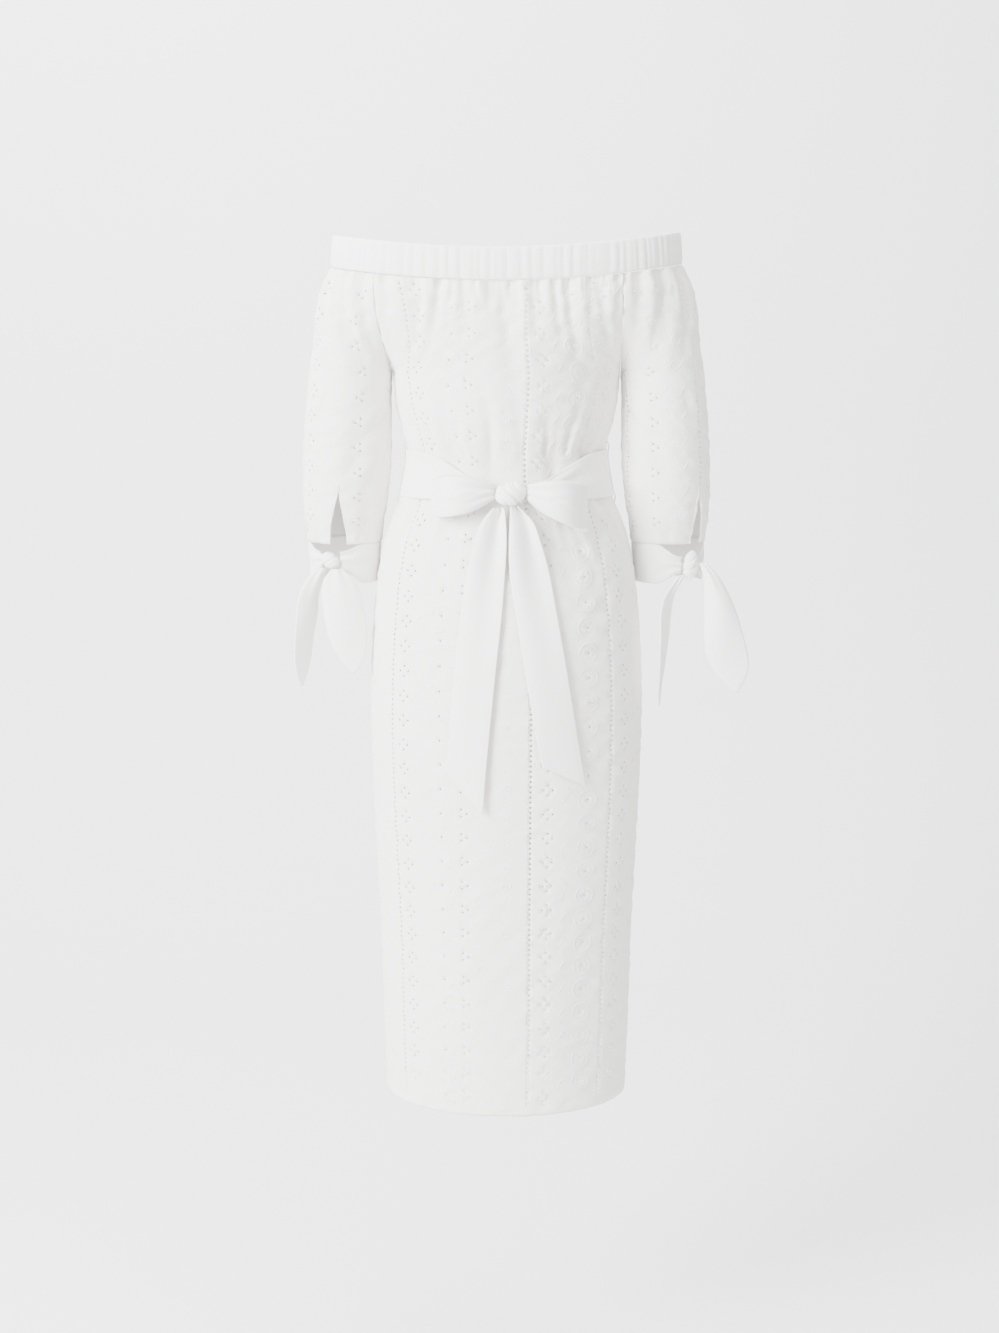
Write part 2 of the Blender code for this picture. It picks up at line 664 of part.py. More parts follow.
def make_band(finish, parent):
    """The elastic casing: a ring whose outer face is raised into narrow pleats."""
    places, gaps = pleat_places()
    stations = []
    for place, gap in zip(places, gaps):
        stations += [(place + gap * share, stand) for share, stand in BAND_PLEAT]
    rings = []
    outer, inner = BAND_WALL / 2, -BAND_WALL / 2
    width_middle = (BAND_WIDTH_TOP + BAND_WIDTH_BOTTOM) / 2
    for share, stand in stations:
        pleat = stand * BAND_PLEAT_HEIGHT / 2
        ring = []
        for height, width, raised in (
            (BAND_TOP, BAND_WIDTH_TOP, outer - BAND_EDGE_FALL + pleat),
            ((BAND_TOP + BAND_BOTTOM) / 2, width_middle, outer + pleat),
            (BAND_BOTTOM, BAND_WIDTH_BOTTOM, outer - BAND_EDGE_FALL + pleat),
            (BAND_BOTTOM, BAND_WIDTH_BOTTOM, inner),
            (BAND_TOP, BAND_WIDTH_TOP, inner),
        ):
            here = outward(band_loop, share, width) * raised
            ring.append(band_loop(share, width) + here + Vector((0, 0, height)))
        rings.append(ring)
    shape = bmesh.new()
    grid = [[shape.verts.new(point * MM) for point in ring] for ring in rings]
    for i, ring in enumerate(grid):
        after = grid[(i + 1) % len(grid)]
        for j in range(len(ring)):
            k = (j + 1) % len(ring)
            shape.faces.new((ring[j], ring[k], after[k], after[j]))
    bmesh.ops.recalc_face_normals(shape, faces=shape.faces)
    mesh = bpy.data.meshes.new("neck_band")
    shape.to_mesh(mesh)
    shape.free()
    return add_object("neck_band", mesh, finish, parent)


def sash_edges(x):
    """The sash's top and bottom at this distance from the knot, on the back."""
    slope = smooth((SASH_SLOPE_START - abs(x - KNOT_X)) / (SASH_SLOPE_START - SASH_SLOPE_END))
    return mix(SASH_TOP, SASH_TOP_AT_KNOT, slope), mix(SASH_BOTTOM, SASH_BOTTOM_AT_KNOT, slope)


def sash_point(angle, share, proud):
    """A point of the sash: angle runs round the waist from the centre back, share from top to bottom."""
    turn = math.degrees(angle)
    side = CENTRE_BACK if abs(turn) <= 90 else CENTRE_FRONT
    across = turn / 90 if side == CENTRE_BACK else math.copysign(2 - abs(turn) / 90, turn)
    x = panel_section(across, (SASH_TOP + SASH_BOTTOM) / 2, side).x
    top, bottom = sash_edges(x) if side == CENTRE_BACK else (SASH_TOP, SASH_BOTTOM)
    height = mix(top, bottom, share)
    near = smooth((SASH_GATHER_START - abs(x - KNOT_X)) / SASH_GATHER_LENGTH)
    gather = near if side == CENTRE_BACK else 0.0
    ripple = SASH_GATHER_RIPPLE * math.cos(share * 2 * math.pi * SASH_GATHERS)
    stand = proud + gather * (ripple + SASH_GATHER_STAND)
    return panel_point(across, height, side, stand, plain=True)


def make_sash(finish, parent):
    """The strip that goes round the waist, gathered where it runs into the knot."""
    start = math.radians(SASH_START)
    rows = []
    for j in range(SASH_ROWS + 1):
        row = []
        for i in range(SASH_STEPS + 1):
            angle = math.pi - mix(start, 2 * math.pi - start, i / SASH_STEPS)
            angle = math.copysign(math.pi - abs(angle), angle)
            angle += math.radians(SASH_TURN) * (1 - abs(angle) / math.pi)
            row.append(sash_point(angle, j / SASH_ROWS, SASH_CLEARANCE))
        rows.append(row)
    mesh = grid_mesh("sash", [row[::-1] for row in rows])
    return add_wall(add_object("sash", mesh, finish, parent), PLAIN)


def knot_rings(size, grooves, groove_depth, sides, stations):
    """A knot of wound cloth lying along X: rounded ends, with grooves between the windings."""
    half_length, half_depth, half_height = size
    rings = []
    for i in range(stations + 1):
        along = -1 + 2 * i / stations
        swell = (1 - KNOT_END_FALL * abs(along) ** KNOT_END_CURVE) ** 0.5
        for groove in grooves:
            swell -= groove_depth * math.exp(-(((along - groove) / KNOT_GROOVE_WIDTH) ** 2))
        ring = []
        for j in range(sides):
            turn = 2 * math.pi * j / sides
            x = along * half_length + KNOT_TWIST * math.sin(turn)
            y = swell * half_depth * math.cos(turn)
            ring.append(Vector((x, y, swell * half_height * math.sin(turn))))
        rings.append(ring)
    return rings


def back_depth(x, height, proud):
    """How far behind the X axis the body's back lies at x, as a positive depth, moved out by proud."""
    depth, width = body("back_depth", height) + proud, body("half_width", height) + proud
    return depth * math.sqrt(max(1 - (x / width) ** 2, 0.0))


def make_sash_knot(finish, parent):
    """The knot of the bow, leaning a little, over the gap between the sash's ends."""
    rings = knot_rings(KNOT_SIZE, KNOT_GROOVES, KNOT_GROOVE_DEPTH, 12, 11)
    depth = back_depth(KNOT_X, KNOT_Z, KNOT_CLEARANCE) + KNOT_SIZE[1]
    place = Vector((KNOT_X, -depth, KNOT_Z))
    lean = Matrix.Rotation(-math.radians(KNOT_LEAN), 3, "Y")
    turned = [[place + lean @ point for point in ring] for ring in rings]
    return add_object("sash_knot", solid_from_rings("sash_knot", turned), finish, parent)


def loop_leaf(side_name, reach, outer_leaf, share):
    """A point of a bow loop's outer or inner leaf, share running from top to bottom."""
    table = LOOPS[side_name]
    top = look_up(table, LOOP_COLUMNS, "top", reach)
    bottom = look_up(table, LOOP_COLUMNS, "bottom", reach)
    gap = look_up(table, LOOP_COLUMNS, "leaf_gap", reach)
    height = mix(top, bottom, share)
    sign = -1 if side_name == "left" else 1
    x = KNOT_X + sign * reach
    stiff = back_depth(KNOT_X, KNOT_Z, LOOP_STIFF_CLEARANCE)
    stiff -= LOOP_BEND * (reach / LOOP_BEND_REACH) ** LOOP_BEND_CURVE
    near = max(back_depth(x, height, LOOP_CLEARANCE), stiff)
    curl = (2 * share - 1) ** 2
    depth = near + gap - LOOP_CURL * curl if outer_leaf else near + LOOP_INNER_CURL * curl
    return Vector((x, -depth, height))


def make_bow_loop(side_name, finish, parent):
    """A loop of the bow: the strip leaves the knot, folds back at its end and returns behind itself."""
    reaches = [row[0] for row in LOOPS[side_name]]
    first, last = reaches[0], reaches[-1]
    leaf = [mix(first, last, i / LOOP_STEPS) for i in range(LOOP_STEPS + 1)]
    shares = [j / LOOP_ROWS for j in range(LOOP_ROWS + 1)]
    rows = []
    for outer_leaf in (True, False):
        for reach in leaf if outer_leaf else leaf[::-1]:
            rows.append([loop_leaf(side_name, reach, outer_leaf, share) for share in shares])
    if side_name == "left":
        rows = [row[::-1] for row in rows]
    name = "bow_loop_" + side_name
    return add_wall(add_object(name, grid_mesh(name, rows), finish, parent), PLAIN)


def hang_depth(x, height):
    """How far behind the X axis a tail lies: on the skirt down to the hip, then straight down."""
    on_skirt = back_depth(x, max(height, TAIL_FREE), TAIL_CLEARANCE)
    near_knot = smooth((height - TAIL_STAND_START) / TAIL_STAND_LENGTH)
    return on_skirt + TAIL_STAND_AT_KNOT * near_knot


def make_sash_tail(side_name, finish, parent):
    """A tail of the bow: pleated under the knot, opening out to its slanting end."""
    table = TAILS[side_name]
    rows = []
    for i in range(TAIL_STEPS_ALONG + 1):
        row = []
        place = i / TAIL_STEPS_ALONG * (len(table) - 1)
        low = min(int(place), len(table) - 2)
        share = place - low
        here = [mix(a, b, share) for a, b in zip(table[low], table[low + 1])]
        values = dict(zip(TAIL_COLUMNS, here))
        for j in range(TAIL_STEPS_ACROSS + 1):
            t = j / TAIL_STEPS_ACROSS
            height = mix(values["height_left"], values["height_right"], t)
            x = mix(values["left"], values["right"], t)
            crease = values["crease"] * math.sin(t * 2 * math.pi + TAIL_CREASE_SHIFT)
            row.append(Vector((x, -hang_depth(x, height) - crease, height)))
        rows.append(row)
    name = "sash_tail_" + side_name
    return add_wall(add_object(name, grid_mesh(name, rows), finish, parent), PLAIN)


def cuff_point(angle, height, proud):
    """A point of a cuff's middle surface, drawn on the right, moved out by proud."""
    inner, outer = sleeve("inner", height), sleeve("outer", height)
    half = (outer - inner) / 2
    depth = sleeve("half_depth", height)
    x = (inner + outer) / 2 + (half + proud) * math.cos(angle)
    return Vector((x, sleeve("middle_depth", height) + (depth + proud) * math.sin(angle), height))


def make_cuff(side_name, finish, parent):
    """The cuff: a strip round the forearm whose ends run into its knot."""
    slit = slit_of(side_name)
    knot = math.radians(slit["knot_angle"])
    start = math.radians(slit["knot_reach"])
    rows = []
    for j in range(CUFF_ROWS + 1):
        row = []
        share = j / CUFF_ROWS
        ripple = CUFF_GATHER_RIPPLE * math.cos(share * 2 * math.pi * CUFF_RIPPLES)
        for i in range(CUFF_STEPS + 1):
            turn = mix(start, 2 * math.pi - start, i / CUFF_STEPS)
            from_knot = math.degrees(min(turn, 2 * math.pi - turn))
            near = smooth((CUFF_GATHER_START - from_knot) / CUFF_GATHER_LENGTH)
            top = mix(CUFF_TOP, slit["knot_height"] + CUFF_HALF_HEIGHT_AT_KNOT, near)
            bottom = mix(CUFF_BOTTOM, slit["knot_height"] - CUFF_HALF_HEIGHT_AT_KNOT, near)
            stand = near * (CUFF_GATHER_STAND + ripple)
            point = cuff_point(knot + turn, mix(top, bottom, share), stand)
            row.append(mirrored(point, side_name))
        rows.append(row if side_name == "left" else row[::-1])
    name = "cuff_" + side_name
    mesh = grid_mesh(name, [row[::-1] for row in rows])
    return add_wall(add_object(name, mesh, finish, parent), PLAIN)


def make_cuff_knot(side_name, finish, parent):
    """The small knot at the foot of a sleeve's slit, standing a little off its cuff."""
    slit = slit_of(side_name)
    size = CUFF_KNOT_SIZES[side_name]
    lean = math.radians(slit["lean"])
    angle = math.radians(slit["knot_angle"])
    place = cuff_point(angle, slit["knot_height"], slit["stand"])
    rings = knot_rings(size, CUFF_KNOT_GROOVES, CUFF_KNOT_GROOVE_DEPTH, 10, 8)
    out = Vector((math.cos(angle), math.sin(angle), 0.0))
    along = Vector((-out.y, out.x, 0.0))
    placed = []
    for ring in rings:
        placed.append([])
        for p in ring:
            level = p.x * math.cos(lean) - p.z * math.sin(lean)
            upright = p.x * math.sin(lean) + p.z * math.cos(lean)
            point = place + along * level + out * p.y + Vector((0, 0, upright))
            placed[-1].append(mirrored(point, side_name))
    name = "cuff_knot_" + side_name
    return add_object(name, solid_from_rings(name, placed), finish, parent)


def make_tie(name, finish, parent):
    """A cuff tie: a leaf-shaped end, creased near its knot and pointed at its tip."""
    table = TIES[name]
    along = len(table) + 2
    rows = []
    for i in range(along + 1):
        height = mix(table[0][0], table[-1][0], i / along)
        values = {c: look_up(table, TIE_COLUMNS, c, height) for c in TIE_COLUMNS}
        turn = math.radians(values["turn"])
        level = Vector((math.cos(turn), math.sin(turn), 0.0))
        out = Vector((level.y, -level.x, 0.0))
        row = []
        for j in range(TIE_STEPS_ACROSS + 1):
            t = -1 + 2 * j / TIE_STEPS_ACROSS
            crease = values["crease"] * (1 - 2 * t * t)
            middle = Vector((values["x"], values["y"], height))
            row.append(middle + level * (t * values["half_breadth"]) + out * crease)
        rows.append(row)
    return add_wall(add_object(name, grid_mesh(name, rows), finish, parent), PLAIN)


def make_belt_loop(side_name, finish, parent):
    """A narrow carrier at the side seam: it stands off the sash and is sewn down above and below it."""
    sign = -1 if side_name == "left" else 1
    rows = []
    for share in BELT_LOOP_PLACES:
        height = mix(BELT_LOOP_TOP, BELT_LOOP_BOTTOM, share)
        proud = CLOTH / 2 + SEAM_GAP + BELT_LOOP_WALL / 2
        over_sash = SASH_CLEARANCE + PLAIN / 2 - CLOTH / 2 + SEAM_GAP
        step_out = smooth(share / BELT_LOOP_STEP) * smooth((1 - share) / BELT_LOOP_STEP)
        proud += over_sash * step_out
        x = sign * (body("half_width", height) + proud)
        half = BELT_LOOP_BREADTH / 2
        rows.append([Vector((x, -half, height)), Vector((x, half, height))])
    if side_name == "left":
        rows = [row[::-1] for row in rows]
    name = "belt_loop_" + side_name
    return add_wall(add_object(name, grid_mesh(name, rows), finish, parent), BELT_LOOP_WALL)


def clear_scene():
    for old in list(bpy.data.objects):
        bpy.data.objects.remove(old, do_unlink=True)


def main():
    clear_scene()
    dress = bpy.data.objects.new("dress", None)
    bpy.context.scene.collection.objects.link(dress)
    eyelet = material("eyelet_cotton", (0.90, 0.89, 0.865), 0.85)
    plain = material("plain_cotton", (0.92, 0.915, 0.90), 0.80)
    make_band(plain, dress)
    make_panel("back_panel", CENTRE_BACK, BACK_STEPS, eyelet, dress)
    make_panel("front_panel", CENTRE_FRONT, FRONT_STEPS, eyelet, dress)
    make_sash(plain, dress)
    make_sash_knot(plain, dress)
    for side_name in ("left", "right"):
        make_sleeve(side_name, eyelet, dress)
        make_cuff(side_name, plain, dress)
        make_cuff_knot(side_name, plain, dress)
        make_bow_loop(side_name, plain, dress)
        make_sash_tail(side_name, plain, dress)
        make_belt_loop(side_name, plain, dress)
    for name in TIES:
        make_tie(name, plain, dress)


main()
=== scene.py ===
"""Off-shoulder eyelet dress in its worn shape, seen from behind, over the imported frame.

The back faces -Y, +X is the wearer's right and +Z is up. Tables and sizes are in millimetres, and
are turned into metres when a mesh is made.
"""

import math
import random

import bmesh
import bpy
import numpy as np
from mathutils import Euler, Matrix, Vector
from mathutils.geometry import delaunay_2d_cdt


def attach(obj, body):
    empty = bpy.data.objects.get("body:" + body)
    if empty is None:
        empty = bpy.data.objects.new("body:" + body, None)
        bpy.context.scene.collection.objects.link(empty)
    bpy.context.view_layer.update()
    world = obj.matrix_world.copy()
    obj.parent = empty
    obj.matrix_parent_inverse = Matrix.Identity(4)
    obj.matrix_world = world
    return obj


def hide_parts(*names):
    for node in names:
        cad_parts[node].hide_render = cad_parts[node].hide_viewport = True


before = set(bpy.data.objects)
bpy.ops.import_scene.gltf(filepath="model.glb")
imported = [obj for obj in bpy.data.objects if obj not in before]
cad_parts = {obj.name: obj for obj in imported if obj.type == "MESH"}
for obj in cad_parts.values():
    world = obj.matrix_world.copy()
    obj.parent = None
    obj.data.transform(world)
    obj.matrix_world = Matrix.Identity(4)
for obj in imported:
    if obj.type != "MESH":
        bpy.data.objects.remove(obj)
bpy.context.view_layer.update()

bl_info = {
    "name": "Off-shoulder eyelet dress",
    "version": (1, 0, 0),
    "blender": (4, 5, 0),
    "location": "View3D > Sidebar > Dress",
    "description": "Builds a gathered eyelet dress with a bow at the back, and its studio",
    "category": "Add Mesh",
}

MM = 0.001
BACK, FRONT = -1, 1

# The worn shape, as the solids have it
BAND_HALF_HEIGHT, BAND_WALL = 20.0, 5.0
BAND_WIDTH_TOP, BAND_WIDTH_BOTTOM = 219.0, 222.0
BAND_BACK, BAND_FRONT = 106.0, 112.0
DIP_BACK, DIP_FRONT, BAND_TILT = 18.0, 26.0, 2.0
SQUARENESS = 2.4
PUFF_SIDE, PUFF_SIDE_LENGTH = 25.0, 38.0
PUFF_DEPTH, PUFF_DEPTH_LENGTH = 5.0, 28.0
UNDERARM, HEM, SLEEVE_END = -152.0, -1119.0, -374.0
ARMHOLE_CURVE = 2.1
RAGLAN_LEFT, RAGLAN_RIGHT = 165.0, 144.0
TOP_DROP = 20.8  # the cloth starts this far under the middle of the casing
OUTER_FACE = 0.75  # from the middle of a wall to the outer face of the cloth

BODY_COLUMNS = ("height", "half_width", "back_depth", "front_depth")
BODY = (
    (-20, 145.0, 104, 114),
    (-152, 145.0, 103, 124),
    (-172, 143.6, 101, 124),
    (-200, 140.5, 98, 121),
    (-232, 132.5, 93, 110),
    (-258, 126.6, 88, 99),
    (-285, 130.0, 88, 97),
    (-312, 135.8, 92, 100),
    (-345, 150.0, 100, 104),
    (-385, 161.5, 108, 107),
    (-450, 171.0, 117, 109),
    (-520, 176.2, 122, 109),
    (-600, 178.2, 122, 108),
    (-700, 175.8, 119, 107),
    (-800, 171.5, 116, 106),
    (-900, 167.0, 114, 105),
    (-1010, 164.6, 114, 105),
    (HEM, 161.0, 115, 105),
)
SLEEVE_COLUMNS = ("height", "inner", "outer", "middle_depth", "half_depth")
SLEEVE = (
    (-20, 147.4, 246.0, 0, 54),
    (-90, 147.4, 247.0, 0, 54),
    (-152, 147.4, 253.5, 1, 53),
    (-172, 149.0, 255.5, 2, 53),
    (-220, 149.5, 260.5, 5, 54),
    (-265, 150.5, 263.5, 9, 55),
    (-312, 155.0, 265.0, 13, 54),
    (-345, 160.5, 263.5, 16, 51),
    (-362, 163.0, 261.0, 19, 48),
    (-378, 165.0, 259.5, 21, 46),
    (-427, 168.5, 257.5, 27, 44),
)
SLIT_COLUMNS = (
    "side", "angle", "apex", "opening", "knot_angle", "knot_height", "knot_reach", "stand", "lean",
)
SLITS = (
    ("left", -84, -300, 25, -71, -395, 15.5, 4.4, 25),
    ("right", -46, -300, 19, -58, -402, 14.0, 5.1, 80),
)
# Folds: share across, depth, breadth, height, reach up and down, and drift sideways
BACK_FOLDS = (
    (-0.90, -3.0, 0.050, -30, 90, 0.00),
    (-0.80, 2.2, 0.050, -30, 110, 0.02),
    (-0.66, -3.6, 0.055, -30, 150, 0.05),
    (-0.57, 2.6, 0.045, -30, 90, 0.00),
    (-0.47, -3.4, 0.050, -30, 130, -0.03),
    (-0.39, 2.8, 0.045, -30, 80, 0.00),
    (-0.30, -3.0, 0.045, -30, 100, 0.03),
    (-0.21, 2.4, 0.045, -30, 120, 0.00),
    (-0.12, -2.6, 0.040, -30, 70, 0.00),
    (0.02, -4.2, 0.075, -30, 230, 0.03),
    (0.13, 2.8, 0.045, -30, 140, 0.00),
    (0.23, -3.0, 0.045, -30, 90, -0.02),
    (0.31, 2.2, 0.045, -30, 80, 0.00),
    (0.38, -3.2, 0.045, -30, 110, 0.00),
    (0.50, -3.8, 0.060, -30, 190, -0.04),
    (0.58, 2.4, 0.040, -30, 100, 0.00),
    (0.66, -3.0, 0.045, -30, 90, 0.02),
    (0.76, -3.4, 0.050, -30, 140, 0.04),
    (0.86, 2.6, 0.045, -30, 120, 0.00),
    (-0.70, -4.0, 0.060, -240, 70, 0.04),
    (-0.36, -4.6, 0.065, -248, 90, 0.03),
    (-0.10, -3.4, 0.050, -262, 80, 0.00),
    (0.30, -3.8, 0.055, -258, 80, 0.02),
    (0.57, -4.8, 0.055, -240, 75, -0.02),
    (0.76, -3.6, 0.050, -238, 60, -0.03),
    (-0.62, -3.4, 0.060, -345, 90, -0.05),
    (-0.34, -3.0, 0.060, -350, 110, -0.03),
    (0.32, -4.0, 0.060, -345, 120, 0.04),
    (0.52, -3.2, 0.055, -350, 90, 0.05),
    (0.72, -3.8, 0.060, -345, 110, 0.06),
    (-0.55, 2.5, 0.130, -640, 300, 0.02),
    (0.10, -3.0, 0.160, -720, 330, -0.02),
    (0.62, 2.8, 0.140, -700, 320, 0.03),
    (-0.20, 2.2, 0.140, -930, 200, 0.02),
    (0.40, -2.0, 0.120, -980, 170, 0.00),
)
FRONT_FOLDS = (
    (-0.86, 2.4, 0.055, -34, 120, 0.00),
    (-0.72, -3.4, 0.055, -34, 140, 0.03),
    (-0.60, 2.4, 0.050, -34, 100, 0.00),
    (-0.48, -3.2, 0.055, -34, 110, 0.02),
    (-0.36, 2.6, 0.050, -34, 130, 0.00),
    (-0.24, -3.6, 0.055, -34, 160, 0.02),
    (-0.12, 2.2, 0.050, -34, 90, 0.00),
    (0.00, -3.8, 0.065, -34, 200, 0.00),
    (0.13, 2.6, 0.050, -34, 120, 0.00),
    (0.26, -3.2, 0.055, -34, 130, -0.02),
    (0.38, 2.4, 0.050, -34, 100, 0.00),
    (0.50, -3.4, 0.055, -34, 150, -0.03),
    (0.63, 2.6, 0.050, -34, 110, 0.00),
    (0.76, -3.2, 0.055, -34, 130, -0.03),
    (0.88, 2.2, 0.050, -34, 100, 0.00),
    (-0.64, -4.2, 0.065, -242, 80, 0.03),
    (-0.34, -4.4, 0.065, -246, 90, 0.02),
    (0.00, -3.6, 0.060, -250, 90, 0.00),
    (0.36, -4.6, 0.065, -246, 85, -0.02),
    (0.66, -4.0, 0.065, -242, 75, -0.03),
    (-0.58, -3.4, 0.065, -345, 110, -0.04),
    (-0.22, -3.0, 0.060, -345, 120, -0.02),
    (0.22, -3.4, 0.060, -345, 110, 0.02),
    (0.58, -3.2, 0.065, -345, 120, 0.04),
    (-0.40, 2.6, 0.150, -680, 320, 0.00),
    (0.20, -2.6, 0.150, -740, 320, 0.00),
    (0.70, 2.2, 0.140, -900, 230, 0.00),
)
SLEEVE_FOLDS = (
    (-0.88, -3.4, 0.045, -40, 110, 0.02),
    (-0.76, 3.0, 0.045, -40, 120, 0.02),
    (-0.63, -4.2, 0.050, -40, 130, 0.03),
    (-0.50, 3.2, 0.045, -40, 150, 0.00),
    (-0.38, -3.6, 0.045, -40, 120, 0.00),
    (-0.26, 2.6, 0.045, -40, 110, 0.00),
    (-0.14, -3.2, 0.045, -40, 130, 0.02),
    (0.00, 2.4, 0.050, -40, 120, 0.00),
    (0.14, -3.0, 0.045, -40, 110, 0.00),
    (0.28, 2.6, 0.050, -40, 130, 0.00),
    (0.42, -3.4, 0.050, -40, 120, 0.00),
    (0.58, 2.8, 0.050, -40, 110, 0.00),
    (0.73, -3.6, 0.050, -40, 140, 0.00),
    (0.88, 2.4, 0.045, -40, 100, 0.00),
    (-0.58, -2.6, 0.070, -255, 90, 0.06),
    (-0.70, -3.0, 0.055, -335, 60, -0.04),
    (0.05, -2.6, 0.060, -340, 55, 0.00),
    (0.35, -3.2, 0.055, -345, 60, 0.00),
    (0.62, -2.8, 0.055, -342, 60, 0.00),
    (0.85, -2.6, 0.050, -345, 55, 0.00),
)

SASH_TOP, SASH_BOTTOM = -252.5, -312.0
SASH_TOP_AT_KNOT, SASH_BOTTOM_AT_KNOT = -291.0, -311.0
SASH_SLOPE_START, SASH_SLOPE_END = 118.0, 20.0
SASH_CLEARANCE = 3.3
SASH_GATHER_START, SASH_GATHER_LENGTH = 70.0, 50.0
SASH_FAN_START, SASH_FAN_LENGTH = 125.0, 110.0
SASH_START, SASH_TURN = 11.0, 3.0  # degrees, from the centre of the bow
KNOT_X, KNOT_Z = 5.0, -301.0
KNOT_SIZE = (20.5, 13.5, 16.0)
KNOT_CLEARANCE, KNOT_LEAN = 1.2, 14.0
# A knot's grooves: where they run across it, and their depth and breadth
KNOT_GROOVES = ((-0.62, 0.10, 0.07), (0.02, 0.22, 0.09), (0.38, 0.08, 0.06), (0.62, 0.15, 0.08))
CUFF_KNOT_GROOVES = ((-0.1, 0.2, 0.11), (0.5, 0.15, 0.09), (-0.6, 0.08, 0.06))
CUFF_KNOT_SIZES = {"left": (13.0, 8.5, 10.5), "right": (19.5, 8.5, 11.0)}
LOOP_CLEARANCE, LOOP_STIFF_CLEARANCE, LOOP_BEND, LOOP_REACH = 6.5, 12.8, 17.0, 97.0
TAIL_CLEARANCE, TAIL_STAND_AT_KNOT, TAIL_FREE = 5.5, 9.0, -540.0
LOOP_COLUMNS = ("reach", "top", "bottom", "leaf_gap")
LOOPS = {
    "left": (
        (20.9, -290, -308, 6),
        (34, -285, -316, 15),
        (52, -281, -324, 23),
        (70, -279, -328, 25),
        (86, -281, -331, 18),
        (99, -287, -331, 5),
    ),
    "right": (
        (21.2, -290, -310, 6),
        (34, -287, -321, 15),
        (52, -285, -331, 23),
        (70, -286, -339, 24),
        (86, -289, -345, 17),
        (97, -293, -347, 5),
    ),
}
TAIL_COLUMNS = ("height_left", "height_right", "left", "right", "crease")
TAILS = {
    "left": (
        (-319, -319, -17, -3, 5.0),
        (-336, -336, -31, -1, 5.0),
        (-362, -362, -41, 0, 4.0),
        (-401, -401, -50, -2, 3.0),
        (-454, -454, -58, -6, 2.0),
        (-515, -520, -65, -13, 1.4),
        (-575, -590, -70, -20, 1.0),
        (-630, -655, -75, -26, 0.8),
        (-656, -709, -78, -30, 0.6),
    ),
    "right": (
        (-316.5, -316.5, 5, 14, 5.0),
        (-336, -336, 4, 33, 5.0),
        (-362, -362, 3, 43, 4.0),
        (-401, -401, 4, 54, 3.0),
        (-454, -454, 12, 64, 2.0),
        (-515, -515, 22, 75, 1.4),
        (-570, -575, 31, 85, 1.0),
        (-615, -630, 39, 94, 0.8),
        (-648, -675, 46, 102, 0.6),
    ),
}
TIE_COLUMNS = ("height", "x", "y", "half_breadth", "turn", "crease")
TIES = {
    "cuff_tie_left_inner": (
        (-405.5, -219, -32, 7, 5, 2.0),
        (-418, -217, -34, 18, 5, 3.0),
        (-440, -214, -36, 25, 4, 3.0),
        (-466, -210, -37, 26, 3, 2.0),
        (-492, -206, -37, 25, 2, 1.4),
        (-513, -203, -37, 19, 2, 1.0),
        (-529, -200, -37, 11, 2, 0.6),
        (-541, -199, -37, 1.5, 2, 0.2),
    ),
    "cuff_tie_left_outer": (
        (-404.5, -238, -28.6, 6, 20, 2.0),
        (-419, -246.5, -29.7, 12, 35, 3.0),
        (-440, -254, -29, 18, 50, 3.0),
        (-466, -257, -28, 22, 56, 2.0),
        (-492, -261, -27, 23, 60, 1.6),
        (-518, -264, -27, 21, 60, 1.2),
        (-541, -266, -27, 13, 58, 0.8),
        (-560, -267, -27, 1.5, 56, 0.2),
    ),
    "cuff_tie_right_inner": (
        (-414, 228, -27, 3.5, 30, 1.0),
        (-428, 220, -27, 9, 50, 2.0),
        (-443, 213, -26, 17, 66, 3.0),
        (-466, 209, -25, 23, 75, 3.0),
        (-492, 208, -24, 26, 77, 2.4),
        (-518, 206, -23, 26, 78, 2.0),
        (-545, 204, -22, 22, 78, 1.5),
        (-568, 202, -22, 12, 78, 0.8),
        (-587, 201, -22, 1.5, 78, 0.2),
    ),
    "cuff_tie_right_outer": (
        (-399, 254.3, -20, 4.5, -20, 1.5),
        (-414, 264, -22, 9, -12, 3.5),
        (-440, 273, -25, 16, -6, 4.0),
        (-466, 279, -27, 21, -3, 3.0),
        (-492, 283, -28, 25, -2, 2.0),
        (-518, 288, -28, 27, -2, 1.4),
        (-538, 293, -28, 23, -2, 1.0),
        (-556, 298, -28, 12, -2, 0.6),
        (-569, 301, -28, 1.5, -2, 0.2),
    ),
}
CUFF_TOP, CUFF_BOTTOM = -374.3, -427.0
CUFF_X, CUFF_Y = 213.0, 27.0  # the middle of the right cuff

# Flat layouts: half of a panel's breadth, and of a sleeve's, from the casing down
PANEL_HALF, SLEEVE_HALF = 240.0, 170.0
TOP_EDGE = -21.0  # the cloth's upper edge in a flat layout
PANEL_FLAT = ((-20, 181), (-150, 223), (-260, 240), (HEM, 240))
SLEEVE_FLAT = ((-20, 100), (-152, 170), (SLEEVE_END, 170))
TURNED_IN = 3.0
PLAIN_HEM = 9.0  # height of the plain hem
# How far a panel's edge share and a sleeve's edge stay back from the seam, at the underarm and top
PANEL_SEAM_UNDERARM, PANEL_SEAM_TOP = 0.0058, 0.0013
SLEEVE_SEAM_UNDERARM, SLEEVE_SEAM_TOP = 0.9, 0.25
# Where the sash lies over the cloth, and how much it flattens ridges and troughs there
SASH_MIDDLE, SASH_HALF = -284.0, 38.0
HELD_RIDGES, HELD_TROUGHS = 0.85, 0.3

